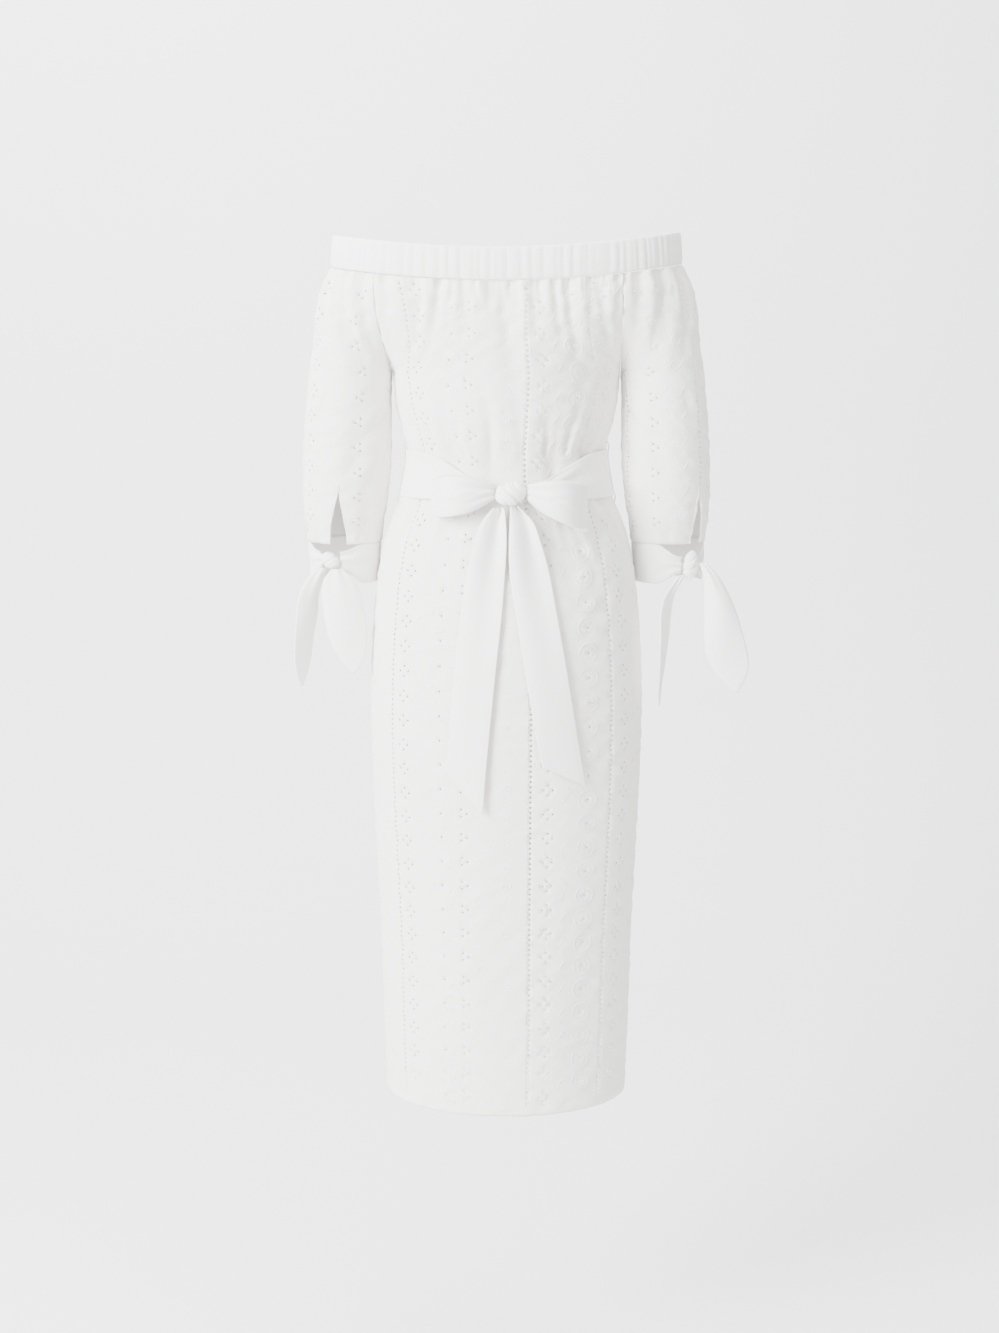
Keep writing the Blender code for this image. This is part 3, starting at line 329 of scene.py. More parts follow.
# The woven-in pattern: place across, motif, distance between repeats, height of the first one
BACK_PATTERN = (
    (-222, "dots", 6.5, -40),
    (-200, "petals", 32, -52),
    (-177, "wave", 32, -40),
    (-147, "dots", 6.5, -36),
    (-127, "diamond", 32, -50),
    (-106, "strokes", 32, -44),
    (-77, "medallion", 32, -40),
    (-49, "cluster", 32, -38),
    (-32, "wave", 32, -44),
    (0, "petals", 32, -48),
    (27, "ladder", 6.8, -36),
    (47.5, "diamond", 32, -40),
    (69, "wave", 32, -44),
    (97.5, "medallion", 32, -56),
    (130.6, "dots", 6.5, -36),
    (156, "diamond", 32, -52),
    (178, "wave", 32, -44),
    (202, "petals", 32, -52),
    (224, "dots", 6.5, -40),
)
FRONT_PATTERN = (
    (-222, "dots", 6.5, -40),
    (-200, "diamond", 32, -52),
    (-177, "strokes", 32, -40),
    (-150, "medallion", 32, -52),
    (-122, "cluster", 32, -50),
    (-104, "wave", 32, -44),
    (-77, "petals", 32, -56),
    (-52, "dots", 6.5, -46),
    (-30, "diamond", 32, -50),
    (-6, "wave", 32, -52),
    (24, "medallion", 32, -58),
    (56, "ladder", 6.8, -46),
    (78, "diamond", 32, -52),
    (100, "wave", 32, -48),
    (130, "petals", 32, -56),
    (156, "dots", 6.5, -40),
    (178, "cluster", 32, -54),
    (202, "strokes", 32, -48),
    (224, "dots", 6.5, -40),
)
RIGHT_SLEEVE_PATTERN = (
    (-150, "dots", 6.5, -60),
    (-128, "strokes", 32, -66),
    (-105, "cluster", 32, -56),
    (-84, "petals", 32, -46),
    (-65, "wave", 32, -40),
    (-42, "dots", 6.5, -34),
    (-20, "diamond", 32, -44),
    (4, "wave", 32, -40),
    (30, "medallion", 32, -50),
    (58, "cluster", 32, -44),
    (80, "petals", 32, -52),
    (105, "dots", 6.5, -50),
    (128, "diamond", 32, -64),
    (150, "wave", 32, -80),
)
LEFT_SLEEVE_PATTERN = (
    (-150, "wave", 32, -80),
    (-127, "strokes", 32, -66),
    (-105, "cluster", 32, -56),
    (-80, "petals", 32, -46),
    (-58, "wave", 32, -40),
    (-36, "diamond", 32, -48),
    (-15, "dots", 6.5, -34),
    (8, "strokes", 32, -40),
    (34, "medallion", 32, -50),
    (62, "cluster", 32, -44),
    (84, "wave", 32, -52),
    (106, "dots", 6.5, -50),
    (128, "diamond", 32, -64),
    (150, "petals", 32, -80),
)
HOLE = 1.25  # radius of a round eyelet
HOLE_CUT, HOLE_SIDES, HOLE_CLEARANCE = HOLE + 0.15, 8, 0.7
LADDER_HALF = 1.7  # half the breadth of a ladder's square eyelet
MARGINS = {"dots": 4, "ladder": 6, "medallion": 13}
MARGIN = 8  # of the other motifs
SUNK = 0.06  # how far raised stitching's edges lie in the cloth
STITCH_PITCH = 3.1

# Creases, listed one by one: start and end across the flat layout and in height, depth and breadth
BACK_CREASES = (
    (-66, -252, -78, -190, -5.0, 6),
    (-20, -258, -34, -160, -4.5, 6),
    (58, -252, 64, -190, -4.5, 5),
    (98, -250, 108, -170, -5.5, 6),
    (120, -250, 132, -185, -5.0, 5),
    (-120, -252, -132, -200, -4.0, 5),
    (150, -250, 168, -200, -3.0, 6),
    (20, -256, 12, -120, -3.0, 9),
    (-150, -60, -158, -140, -3.0, 7),
    (-8, -40, 2, -170, -3.5, 9),
    (92, -34, 84, -130, -3.0, 6),
    (118, -34, 104, -150, -3.5, 7),
    (48, -34, 42, -110, -2.2, 5),
    (-52, -34, -48, -100, -2.5, 5),
    (-92, -34, -98, -120, -3.0, 6),
    (-118, -34, -128, -160, -3.0, 7),
    (-150, -318, -190, -470, -3.0, 9),
    (-96, -318, -128, -420, -2.6, 8),
    (92, -330, 128, -470, -3.2, 8),
    (128, -318, 172, -440, -3.4, 8),
    (158, -316, 205, -400, -2.6, 7),
    (60, -340, 76, -440, -2.4, 7),
    (-60, -340, -74, -450, -2.2, 8),
)
FRONT_CREASES = (
    (-60, -252, -76, -180, -4.5, 6),
    (-14, -254, -22, -170, -4.0, 6),
    (32, -252, 44, -190, -4.5, 5),
    (90, -250, 104, -170, -5.0, 6),
    (132, -250, 146, -190, -4.0, 5),
    (-116, -252, -132, -200, -4.5, 5),
    (-150, -60, -158, -150, -3.0, 7),
    (10, -44, 4, -180, -3.0, 9),
    (84, -44, 78, -140, -3.0, 6),
    (-70, -44, -76, -130, -3.0, 6),
    (-120, -44, -128, -160, -3.0, 7),
    (128, -44, 120, -150, -3.4, 7),
    (-150, -318, -186, -450, -3.0, 9),
    (-84, -318, -104, -430, -2.6, 8),
    (-20, -318, -26, -400, -2.4, 7),
    (40, -318, 52, -420, -2.6, 8),
    (100, -318, 128, -460, -3.0, 8),
    (152, -318, 190, -410, -2.6, 7),
)
SLEEVE_CREASES = (
    (-110, -60, -120, -150, -3.2, 6),
    (-84, -34, -88, -130, -3.0, 5),
    (-56, -34, -58, -140, -3.0, 5),
    (-26, -34, -30, -110, -2.6, 5),
    (6, -34, 4, -140, -3.0, 6),
    (36, -34, 40, -120, -2.6, 5),
    (66, -34, 72, -150, -3.0, 6),
    (100, -44, 112, -140, -3.0, 6),
    (-140, -200, -100, -262, -3.4, 8),
    (-150, -250, -96, -330, -3.2, 9),
    (-112, -372, -122, -322, -2.6, 5),
    (-84, -372, -90, -338, -2.4, 4),
    (-48, -372, -50, -300, -2.4, 6),
    (-20, -372, -22, -334, -2.2, 4),
    (18, -372, 20, -316, -2.6, 5),
    (52, -372, 54, -330, -2.4, 5),
    (86, -372, 90, -310, -2.8, 6),
    (124, -372, 128, -330, -2.6, 5),
    (140, -230, 90, -300, -3.0, 9),
    (-60, -180, -40, -250, -2.4, 9),
)

# A crease: how it runs in, fades and widens, and the soft ridge beside it
CREASE_RUN_IN, CREASE_FADE = 0.12, 0.8
CREASE_SPREAD = (0.75, 1.7)
RIDGE_SHARE, RIDGE_PLACE = 0.4, 1.7

# Small gathers below the casing, and waves of the fine crumple
GATHER_DEPTHS = (-3.0, -2.4, -1.6, -2.0, 1.4)
GATHER_LENGTHS, GATHER_BREADTHS, GATHER_LEAN = (14, 58), (1.7, 3.4), 0.1
PANEL_GATHERS, SLEEVE_GATHERS = 66, 44
CRUMPLE_WAVES, CRUMPLE_LENGTHS = 22, (9, 34)


def smooth(t):
    t = np.clip(t, 0.0, 1.0)
    return t * t * (3 - 2 * t)


def mix(a, b, share):
    return a + (b - a) * share


def bell(x):
    return np.exp(-x * x)


def both_edges(share, place, breadth):
    """Two narrow bells across a strip, as far in from one edge as from the other."""
    return bell((share - place) / breadth) + bell((1 - place - share) / breadth)


def curve(rows, place, index=1):
    """A smooth curve through one column of a table, read by its first column."""
    rows = np.array(sorted((row[0], row[index]) for row in rows), float)
    x, y = rows[:, 0], rows[:, 1]
    last = len(x) - 1
    low, high = np.maximum(np.arange(last + 1) - 1, 0), np.minimum(np.arange(last + 1) + 1, last)
    slope = (y[high] - y[low]) / (x[high] - x[low])
    place = np.clip(np.asarray(place, float), x[0], x[-1])
    k = np.clip(np.searchsorted(x, place, side="right") - 1, 0, last - 1)
    span = x[k + 1] - x[k]
    t = (place - x[k]) / span
    start = (1 + 2 * t) * (1 - t) ** 2 * y[k] + t * (1 - t) ** 2 * span * slope[k]
    return start + t * t * (3 - 2 * t) * y[k + 1] + t * t * (t - 1) * span * slope[k + 1]


def body(column, height):
    return curve(BODY, height, BODY_COLUMNS.index(column))


def sleeve(column, height):
    return curve(SLEEVE, height, SLEEVE_COLUMNS.index(column))


def squared(sine):
    return (1 - np.minimum(np.abs(sine), 1.0) ** SQUARENESS) ** (1 / SQUARENESS)


def band_drop(across, side):
    return np.where(side == BACK, DIP_BACK, DIP_FRONT) * (1 - across * across) - BAND_TILT * across


def cloth_top(across_share, side):
    return -TOP_DROP - band_drop(across_share, side)


def loop_width(drop):
    return BAND_WIDTH_BOTTOM + PUFF_SIDE * (1 - np.exp(-drop / PUFF_SIDE_LENGTH))


def loop_point(angle, drop, side):
    depth = np.where(side == BACK, BAND_BACK, BAND_FRONT)
    depth = depth + PUFF_DEPTH * (1 - np.exp(-drop / PUFF_DEPTH_LENGTH))
    sine = np.sin(angle)
    return loop_width(drop) * sine, side * depth * squared(sine)


def loop_angle(across, drop):
    width = loop_width(drop)
    left, right = np.arcsin(RAGLAN_LEFT / width), np.arcsin(RAGLAN_RIGHT / width)
    return (right + left) / 2 * across + (right - left) / 2 * across * across


def opening_share(rise):
    return 1 - (1 - np.clip(rise, 0.0, 1.0)) ** ARMHOLE_CURVE


def folds(table, across, height):
    total = np.zeros_like(across)
    for share, depth, width, middle, reach, drift in table:
        near = 1 - smooth(np.abs(height - middle) / reach)
        centre = share + drift * (middle - height) / reach
        total += depth * near * bell((across - centre) / width)
    return total


def panel_section(across, height, side):
    """The smooth form of the front or back: x and y at places across and up it."""
    depth = body("back_depth" if side == BACK else "front_depth", height)
    turn = across * math.pi / 2
    x = body("half_width", height) * np.sin(turn)
    y = side * depth * np.cos(turn)
    top = cloth_top(np.sin(loop_angle(across, 0.0)), side)
    share = opening_share((height - UNDERARM) / (top - UNDERARM))
    drop = np.maximum(top - height, 0.0)
    above_x, above_y = loop_point(loop_angle(across, drop), drop, side)
    return mix(x, above_x, share), mix(y, above_y, share)


def sleeve_top(across, arm):
    side = np.where(across < 0, BACK, FRONT)
    angle = mix(math.pi / 2, np.abs(loop_angle(float(arm), 0.0)), np.abs(across))
    return cloth_top(arm * np.sin(angle), side)


def sleeve_section(across, height, arm):
    """The smooth form of a sleeve, drawn on the right: -1 is its back seam, 1 the front one."""
    inner, outer = sleeve("inner", height), sleeve("outer", height)
    turn = across * math.pi
    middle = sleeve("middle_depth", height)
    x = (inner + outer) / 2 + (outer - inner) / 2 * np.cos(turn)
    y = middle + sleeve("half_depth", height) * np.sin(turn)
    side = np.where(across < 0, BACK, FRONT)
    top = sleeve_top(across, arm)
    share = opening_share((height - UNDERARM) / (top - UNDERARM))
    drop = np.maximum(top - height, 0.0)
    angle = mix(math.pi / 2, np.abs(loop_angle(float(arm), drop)), np.abs(across))
    above_x, above_y = loop_point(angle, drop, side)
    level = np.where(share > 0, middle * (1 - smooth(np.abs(across))), middle)
    return mix(x, above_x, share), mix(y - middle + level, above_y, share)


def outward(section, across, *rest):
    """The level direction out of a section, and how many millimetres one unit across is."""
    step = 0.004
    x1, y1 = section(across + step, *rest)
    x0, y0 = section(across - step, *rest)
    dx, dy = x1 - x0, y1 - y0
    length = np.maximum(np.hypot(dx, dy), 1e-6)
    return dy / length, -dx / length, length / (2 * step)


def crease_depth(table, p, height, scale):
    """How far the listed creases and their soft ridges move the cloth here."""
    total = np.zeros_like(p)
    for p0, h0, p1, h1, depth, width in table:
        t = (height - h0) / (h1 - h0)
        inside = np.clip(t, 0.0, 1.0)
        fade = smooth((t + CREASE_RUN_IN) / CREASE_RUN_IN) * (1 - inside) ** CREASE_FADE * (t < 1)
        centre = mix(p0, p1, inside) + 3 * np.sin(inside * 5 + p0)
        d = (p - centre) / (width * mix(*CREASE_SPREAD, inside))
        total += depth * scale * fade * (bell(d) - RIDGE_SHARE * bell(d - RIDGE_PLACE))
    return total


def gather_depth(table, p, below):
    """Small seeded gathers that start at the casing and fade below it."""
    total = np.zeros_like(p)
    for place, length, depth, width, lean in table:
        t = np.clip(below / length, 0.0, 1.0)
        d = (p - place - lean * below) / (width * (1 + 0.8 * t))
        total += depth * (1 - t) ** 1.5 * bell(d)
    return total


def small_gathers(seed, half, count):
    """Uneven little gathers along an edge: place, length, depth, breadth and lean."""
    rng = random.Random(seed)
    made = []
    for i in range(count):
        place = -half + 2 * half * (i + rng.uniform(0.15, 0.85)) / count
        depth = rng.choice(GATHER_DEPTHS)
        length = rng.uniform(*GATHER_LENGTHS)
        breadth = rng.uniform(*GATHER_BREADTHS)
        made.append((place, length, depth, breadth, rng.uniform(-GATHER_LEAN, GATHER_LEAN)))
    return made


def crumple(p, height, seed, depth):
    """Fine washed-cotton crumple, mostly in level ripples."""
    rng = random.Random(seed)
    total = np.zeros_like(p)
    for i in range(CRUMPLE_WAVES):
        length = rng.uniform(*CRUMPLE_LENGTHS)
        turn = rng.gauss(math.pi / 2, 0.5)
        wave = (p * math.cos(turn) + height * math.sin(turn)) * 2 * math.pi / length
        bend = 2.2 * np.sin(p / rng.uniform(18, 50) + i) * np.sin(height / rng.uniform(20, 70) + i * 2)
        total += np.sin(wave + bend + rng.uniform(0, 6.3)) * length / CRUMPLE_WAVES
    return total * depth / 3


class Number:
    """A value in a material. Arithmetic on it adds Math nodes."""

    def __init__(self, finish, socket):
        self.finish, self.socket = finish, socket

    def __add__(self, other):
        return self.finish.maths("ADD", self, other)

    def __mul__(self, other):
        return self.finish.maths("MULTIPLY", self, other)

    __radd__, __rmul__ = __add__, __mul__


class Finish:
    """A material being put together."""

    def __init__(self, name):
        self.material = bpy.data.materials.new(name)
        self.material.use_nodes = True
        self.tree = self.material.node_tree
        self.shader = self.tree.nodes["Principled BSDF"]

    def node(self, kind, settings=None, **values):
        """Adds a node: its settings first, then its sockets' values."""
        made = self.tree.nodes.new(kind)
        for name, value in (settings or {}).items():
            setattr(made, name, value)
        for name, value in values.items():
            self.give(made.inputs[name.replace("_", " ")], value)
        return made

    def give(self, socket, value):
        if isinstance(value, Number):
            value = value.socket
        if isinstance(value, bpy.types.NodeSocket):
            self.tree.links.new(value, socket)
        else:
            socket.default_value = value

    def maths(self, operation, first, second):
        made = self.node("ShaderNodeMath", {"operation": operation})
        self.give(made.inputs[0], first)
        self.give(made.inputs[1], second)
        return Number(self, made.outputs[0])

    def noise(self, place, scale, detail=3.0, stretch=(1, 1, 1)):
        mapping = self.node("ShaderNodeMapping", Vector=place, Scale=stretch)
        made = self.node("ShaderNodeTexNoise", Vector=mapping.outputs[0], Scale=scale, Detail=detail)
        return Number(self, made.outputs["Fac"])

    def blend(self, share, first, second):
        made = self.node("ShaderNodeMix", {"data_type": "RGBA"})
        self.give(made.inputs["Factor"], share)
        self.give(made.inputs[6], first)
        self.give(made.inputs[7], second)
        return made.outputs[2]

    def relief(self, height, distance, normal=None):
        made = self.node("ShaderNodeBump", Height=height, Distance=distance)
        if normal is not None:
            self.give(made.inputs["Normal"], normal)
        return made.outputs[0]


def cotton(name, colour, shade, roughness, sheen, crumple_depth, weave):
    """Woven cotton: thread bump on the cloth's own layout, soft crumple, and a little unevenness."""
    finish = Finish(name)
    layout = finish.node("ShaderNodeUVMap", {"uv_map": "layout"}).outputs[0]
    objects = finish.node("ShaderNodeTexCoord").outputs["Object"]
    warp = finish.node("ShaderNodeTexWave", {"bands_direction": "X"}, Vector=layout, Scale=weave)
    weft = finish.node("ShaderNodeTexWave", {"bands_direction": "Y"}, Vector=layout, Scale=weave)
    threads = Number(finish, warp.outputs["Fac"]) * 0.5 + Number(finish, weft.outputs["Fac"]) * 0.5
    slub = finish.noise(layout, 420, 2.0, (1, 0.25, 1))
    wide = finish.noise(objects, 9, 2.0)
    fine = finish.noise(objects, 60, 4.0, (1, 1, 2.6))
    tone = wide * 0.55 + slub * 0.25 + threads * 0.2
    finish.give(finish.shader.inputs["Base Color"], finish.blend(tone, (*shade, 1), (*colour, 1)))
    finish.give(finish.shader.inputs["Roughness"], slub * 0.12 + (roughness - 0.06))
    woven = finish.relief(threads * 0.7 + slub * 0.3, 0.00012)
    finish.give(finish.shader.inputs["Normal"], finish.relief(fine, crumple_depth * MM, woven))
    finish.shader.inputs["Sheen Weight"].default_value = sheen
    finish.shader.inputs["Sheen Roughness"].default_value = 0.55
    finish.shader.inputs["Specular IOR Level"].default_value = 0.22
    return finish.material


def thread(name, colour):
    """Satin stitch: close parallel threads with a soft lustre."""
    finish = Finish(name)
    objects = finish.node("ShaderNodeTexCoord").outputs["Object"]
    strands = finish.noise(objects, 900, 2.0, (1, 1, 0.35))
    wide = finish.noise(objects, 12, 2.0)
    darker = tuple(c * 0.94 for c in colour)
    tone = finish.blend(strands * 0.5 + wide * 0.5, (*darker, 1), (*colour, 1))
    finish.give(finish.shader.inputs["Base Color"], tone)
    finish.give(finish.shader.inputs["Roughness"], strands * 0.15 + 0.48)
    finish.give(finish.shader.inputs["Normal"], finish.relief(strands, 0.00015))
    finish.shader.inputs["Sheen Weight"].default_value = 0.1
    return finish.material


def backdrop(name, colour):
    finish = Finish(name)
    objects = finish.node("ShaderNodeTexCoord").outputs["Object"]
    grain = finish.noise(objects, 3, 3.0)
    darker = tuple(c * 0.985 for c in colour)
    finish.give(finish.shader.inputs["Base Color"], finish.blend(grain, (*darker, 1), (*colour, 1)))
    finish.give(finish.shader.inputs["Roughness"], grain * 0.1 + 0.8)
    return finish.material


def dress_finish(name):
    """One of the dress's materials. All of them are made the first time one is needed."""
    if bpy.data.materials.get(name) is None:
        look = bpy.context.scene.dress_colours
        cotton(
            "eyelet_cloth", look.eyelet, look.eyelet_shade, roughness=0.9, sheen=0.12,
            crumple_depth=0.55, weave=190,
        )
        cotton(
            "plain_cloth", look.plain, look.plain_shade, roughness=0.82, sheen=0.1,
            crumple_depth=0.3, weave=150,
        )
        thread("embroidery_thread", look.thread)
    return bpy.data.materials[name]


def add_piece(name, points, faces, finish, layout=None):
    """An object from points in millimetres and faces of one kind, placed in its mesh."""
    mesh = bpy.data.meshes.new(name)
    count, corners = faces.shape
    mesh.vertices.add(len(points))
    mesh.vertices.foreach_set("co", (np.asarray(points, float) * MM).ravel())
    mesh.loops.add(count * corners)
    mesh.loops.foreach_set("vertex_index", faces.ravel().astype(np.int32))
    mesh.polygons.add(count)
    mesh.polygons.foreach_set("loop_start", np.arange(0, count * corners, corners, dtype=np.int32))
    mesh.update(calc_edges=True)
    mesh.validate()
    if layout is not None:
        uv = mesh.uv_layers.new(name="layout")
        uv.data.foreach_set("uv", (layout[faces.ravel()] * MM).ravel())
    mesh.materials.append(finish)
    mesh.shade_smooth()
    return link(name, mesh)


def link(name, mesh):
    made = bpy.data.objects.new(name, mesh)
    bpy.context.scene.collection.objects.link(made)
    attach(made, "root")
    return made


def thicken(made, thickness, offset=-1.0):
    wall = made.modifiers.new("Wall", "SOLIDIFY")
    wall.thickness = thickness * MM
    wall.offset = offset
    wall.use_even_offset = False


def ring_template(inner, outer, height, sides=8, corners=False):
    """A satin-stitched ring round an eyelet, as points beside its centre and triangles."""
    shape = bmesh.new()
    bmesh.ops.create_circle(shape, cap_ends=False, radius=inner, segments=sides)
    rim = shape.edges[:]
    for radius, stand in (((inner + outer) / 2, height), (outer, 0.0)):
        made = bmesh.ops.extrude_edge_only(shape, edges=rim)["geom"]
        rim = [e for e in made if isinstance(e, bmesh.types.BMEdge)]
        for vertex in {v for e in rim for v in e.verts}:
            flat = Vector((vertex.co.x, vertex.co.y, 0.0)).normalized() * radius
            vertex.co = Vector((flat.x, flat.y, stand))
    if corners:
        bmesh.ops.rotate(shape, verts=shape.verts, matrix=Euler((0, 0, math.pi / 4)).to_matrix())
    return template(shape)


def petal_template(length, breadth, height, turn=0.0, start=0.0):
    """A raised leaf or petal of satin stitch, pointed at both ends, from start outwards."""
    shape = bmesh.new()
    bmesh.ops.create_grid(shape, x_segments=4, y_segments=2, size=0.5)
    for vertex in shape.verts:
        t, s = vertex.co.x + 0.5, vertex.co.y * 2
        swell = math.sin(math.pi * min(max(t, 0.02), 0.98)) ** 0.7
        vertex.co = Vector((start + t * length, s * swell * breadth / 2, height * swell * (1 - s * s)))
    bmesh.ops.rotate(shape, verts=shape.verts, matrix=Euler((0, 0, turn)).to_matrix())
    return template(shape)


def template(shape):
    """A finished motif's points and triangles, facing up off the cloth."""
    bmesh.ops.triangulate(shape, faces=shape.faces)
    bmesh.ops.recalc_face_normals(shape, faces=shape.faces)
    if sum(f.normal.z for f in shape.faces) < 0:
        bmesh.ops.reverse_faces(shape, faces=shape.faces)
    shape.verts.index_update()
    points = np.array([v.co for v in shape.verts])
    faces = np.array([[v.index for v in f.verts] for f in shape.faces])
    shape.free()
    return points, faces


def joined(*templates):
    """Several templates as one."""
    points, faces, first = [], [], 0
    for one_points, one_faces in templates:
        points.append(one_points)
        faces.append(one_faces + first)
        first += len(one_points)
    return np.concatenate(points), np.concatenate(faces)


def moved(one, dx, dy):
    return one[0] + (dx, dy, 0.0), one[1]


def motif_parts():
    """For each motif: where its holes are, and its raised stitching."""
    eyelet = ring_template(HOLE, HOLE + 0.9, 0.45)
    tau = 2 * math.pi
    diamond = ((-5.9, 0.0), (5.9, 0.0), (0.0, -6.5), (0.0, 6.5))
    cluster = ((-3.2, -4.45), (-3.2, 4.45), (4.0, -0.6))
    wave = joined(
        moved(petal_template(21, 2.2, 0.8, math.radians(58)), -6.0, -16.0),
        moved(petal_template(18, 1.8, 0.7, math.radians(125)), 5.6, 0.5),
        moved(petal_template(6.5, 2.6, 0.7, math.radians(20)), -0.5, -7.0),
        moved(petal_template(6.0, 2.4, 0.7, math.radians(160)), 1.0, 8.5),
    )
    bloom = joined(*[petal_template(5.4, 3.0, 0.8, tau * i / 6 + 0.3, 1.5) for i in range(6)])
    leaf = petal_template(8.0, 3.0, 0.7, math.radians(60))
    medallion = joined(
        eyelet,
        ring_template(11.4, 13.4, 0.75, 24),
        *[petal_template(5.6, 2.8, 0.7, tau * i / 8 + 0.2, 3.2) for i in range(8)],
    )
    return {
        "dots": (((0.0, 0.0),), ring_template(HOLE, HOLE + 0.7, 0.35)),
        "ladder": (
            ((0.0, 0.0),),
            joined(
                ring_template(1.9, 2.7, 0.4, 4, corners=True),
                moved(petal_template(7.4, 1.5, 0.5, math.pi / 2), -4.0, -3.7),
                moved(petal_template(7.4, 1.5, 0.5, math.pi / 2), 4.0, -3.7),
            ),
        ),
        "diamond": (diamond, joined(*[moved(eyelet, *place) for place in diamond])),
        "cluster": (cluster, joined(*[moved(eyelet, *place) for place in cluster])),
        "medallion": (((0.0, 0.0),), medallion),
        "strokes": ((), moved(petal_template(19, 2.4, 0.8, math.radians(50)), -6.0, -7.0)),
        "wave": ((), wave),
        "petals": (
            (),
            joined(
                bloom,
                moved(leaf, -7.0, 6.5),
                moved(petal_template(8.0, 3.0, 0.7, math.radians(125)), 7.0, 7.0),
                moved(petal_template(6.0, 2.4, 0.6, math.pi / 2), 0.0, 8.5),
            ),
        ),
    }


class Cloth:
    """One cut piece of the eyelet cloth: its flat layout and where that layout lies when worn.

    A place in the layout is p across and q up. Across and height are where it lies on the worn
    form, and outside the layout's edges the cloth is turned in. which is a panel's side or a
    sleeve's arm."""

    def __init__(self, kind, half, bottom, flat, section, top, table, creases, gathers, which):
        self.kind, self.half, self.bottom, self.flat = kind, half, bottom, flat
        self.section, self.top, self.table = section, top, table
        self.creases, self.gathers, self.which = creases, gathers, which

    def height(self, p, q):
        across = np.clip(p / self.half, -1, 1)
        rise = np.clip((q - UNDERARM) / (TOP_EDGE - UNDERARM), 0, 1)
        above = mix(UNDERARM, self.top(across), rise)
        return np.where(q > UNDERARM, above, np.maximum(q, self.bottom))

    def across(self, p, height):
        across = np.clip(p / self.half, -1, 1)
        rise = opening_share((height - UNDERARM) / (self.top(across) - UNDERARM))
        if self.kind == "panel":
            back, below = mix(PANEL_SEAM_UNDERARM, PANEL_SEAM_TOP, rise), PANEL_SEAM_TOP
        else:
            back, below = mix(SLEEVE_SEAM_UNDERARM, SLEEVE_SEAM_TOP, rise) / SLEEVE_HALF, 0.0
        return across * (1 - np.where(height > UNDERARM, back, below))

    def worn(self, p, q, proud=0.0):
        """Points in millimetres on the worn dress, moved out of the cloth's face by proud."""
        height = self.height(p, q)
        across = self.across(p, height)
        turned = np.maximum(np.abs(p) - self.half, 0) + np.maximum(q - TOP_EDGE, 0)
        turned = turned + np.maximum(self.bottom - q, 0)
        out_x, out_y, _ = outward(self.section, across, height, self.which)
        x, y = self.section(across, height, self.which)
        stand = OUTER_FACE + proud - turned + folds(self.table, across, height)
        stand = stand + self.detail(p, q, height)
        if self.kind == "panel" and self.which == FRONT:
            stand = -stand
        points = np.stack((x + out_x * stand, y + out_y * stand, height), -1)
        if self.kind == "sleeve" and self.which < 0:
            points[:, 0] *= -1
        return points

    def detail(self, p, q, height):
        """Creases, small gathers and crumple, flattened where the sash lies over them."""
        sizes = bpy.context.scene.dress_sizes
        total = crease_depth(self.creases, p, height, sizes.crease_depth)
        total = total + gather_depth(self.gathers, p, np.maximum(TOP_EDGE - q, 0))
        total = total + crumple(p, q, len(self.creases), sizes.crumple_depth)
        if self.kind != "panel":
            return total
        held = np.exp(-(((q - SASH_MIDDLE) / SASH_HALF) ** 4))
        return total * (1 - np.where(total > 0, HELD_RIDGES, HELD_TROUGHS) * held)

    def place(self, u, height):
        """The layout's place for one given in the pattern's own millimetres."""
        across = u / curve(self.flat, height)
        rise = (height - UNDERARM) / (self.top(across) - UNDERARM)
        q = np.where(height > UNDERARM, UNDERARM + rise * (TOP_EDGE - UNDERARM), height)
        return across * self.half, q

    def metric(self, u, height):
        """How many worn millimetres one millimetre of the pattern covers, across the cloth."""
        flat = curve(self.flat, height)
        across = np.clip(u / flat, -0.99, 0.99)
        return outward(self.section, across, height, self.which)[2] / flat


def spots(cloth, pattern, keep_clear=None):
    """Where each repeat of each motif goes: motif, place across and height."""
    found = []
    for u, motif, pitch, first in pattern:
        margin = MARGINS.get(motif, MARGIN)
        heights = np.arange(first, cloth.bottom + PLAIN_HEM + margin, -pitch)
        p, q = cloth.place(np.full(len(heights), float(u)), heights)
        good = (np.abs(p) < cloth.half - margin) & (q < TOP_EDGE - 2 - min(margin, MARGIN))
        if keep_clear is not None:
            good &= ~keep_clear(p, q, margin)
        found += [(motif, float(u), float(h)) for h, ok in zip(heights, good) if ok]
    return found


def cut_holes(cloth, found, parts):
    """Hole outlines on the layout, as arrays of p and q."""
    turns = (np.arange(HOLE_SIDES) + 0.5) * 2 * math.pi / HOLE_SIDES
    round_hole = np.cos(turns) * HOLE_CUT, np.sin(turns) * HOLE_CUT
    square_hole = tuple(np.clip(o * 1.5, -LADDER_HALF, LADDER_HALF) for o in round_hole)
    outlines = []
    for motif, u, height in found:
        across, up = square_hole if motif == "ladder" else round_hole
        scale = cloth.metric(np.array([u]), np.array([height]))[0]
        for dx, dy in parts[motif][0]:
            outlines.append(np.stack(cloth.place(u + (across + dx) / scale, height + (up + dy)), -1))
    return outlines


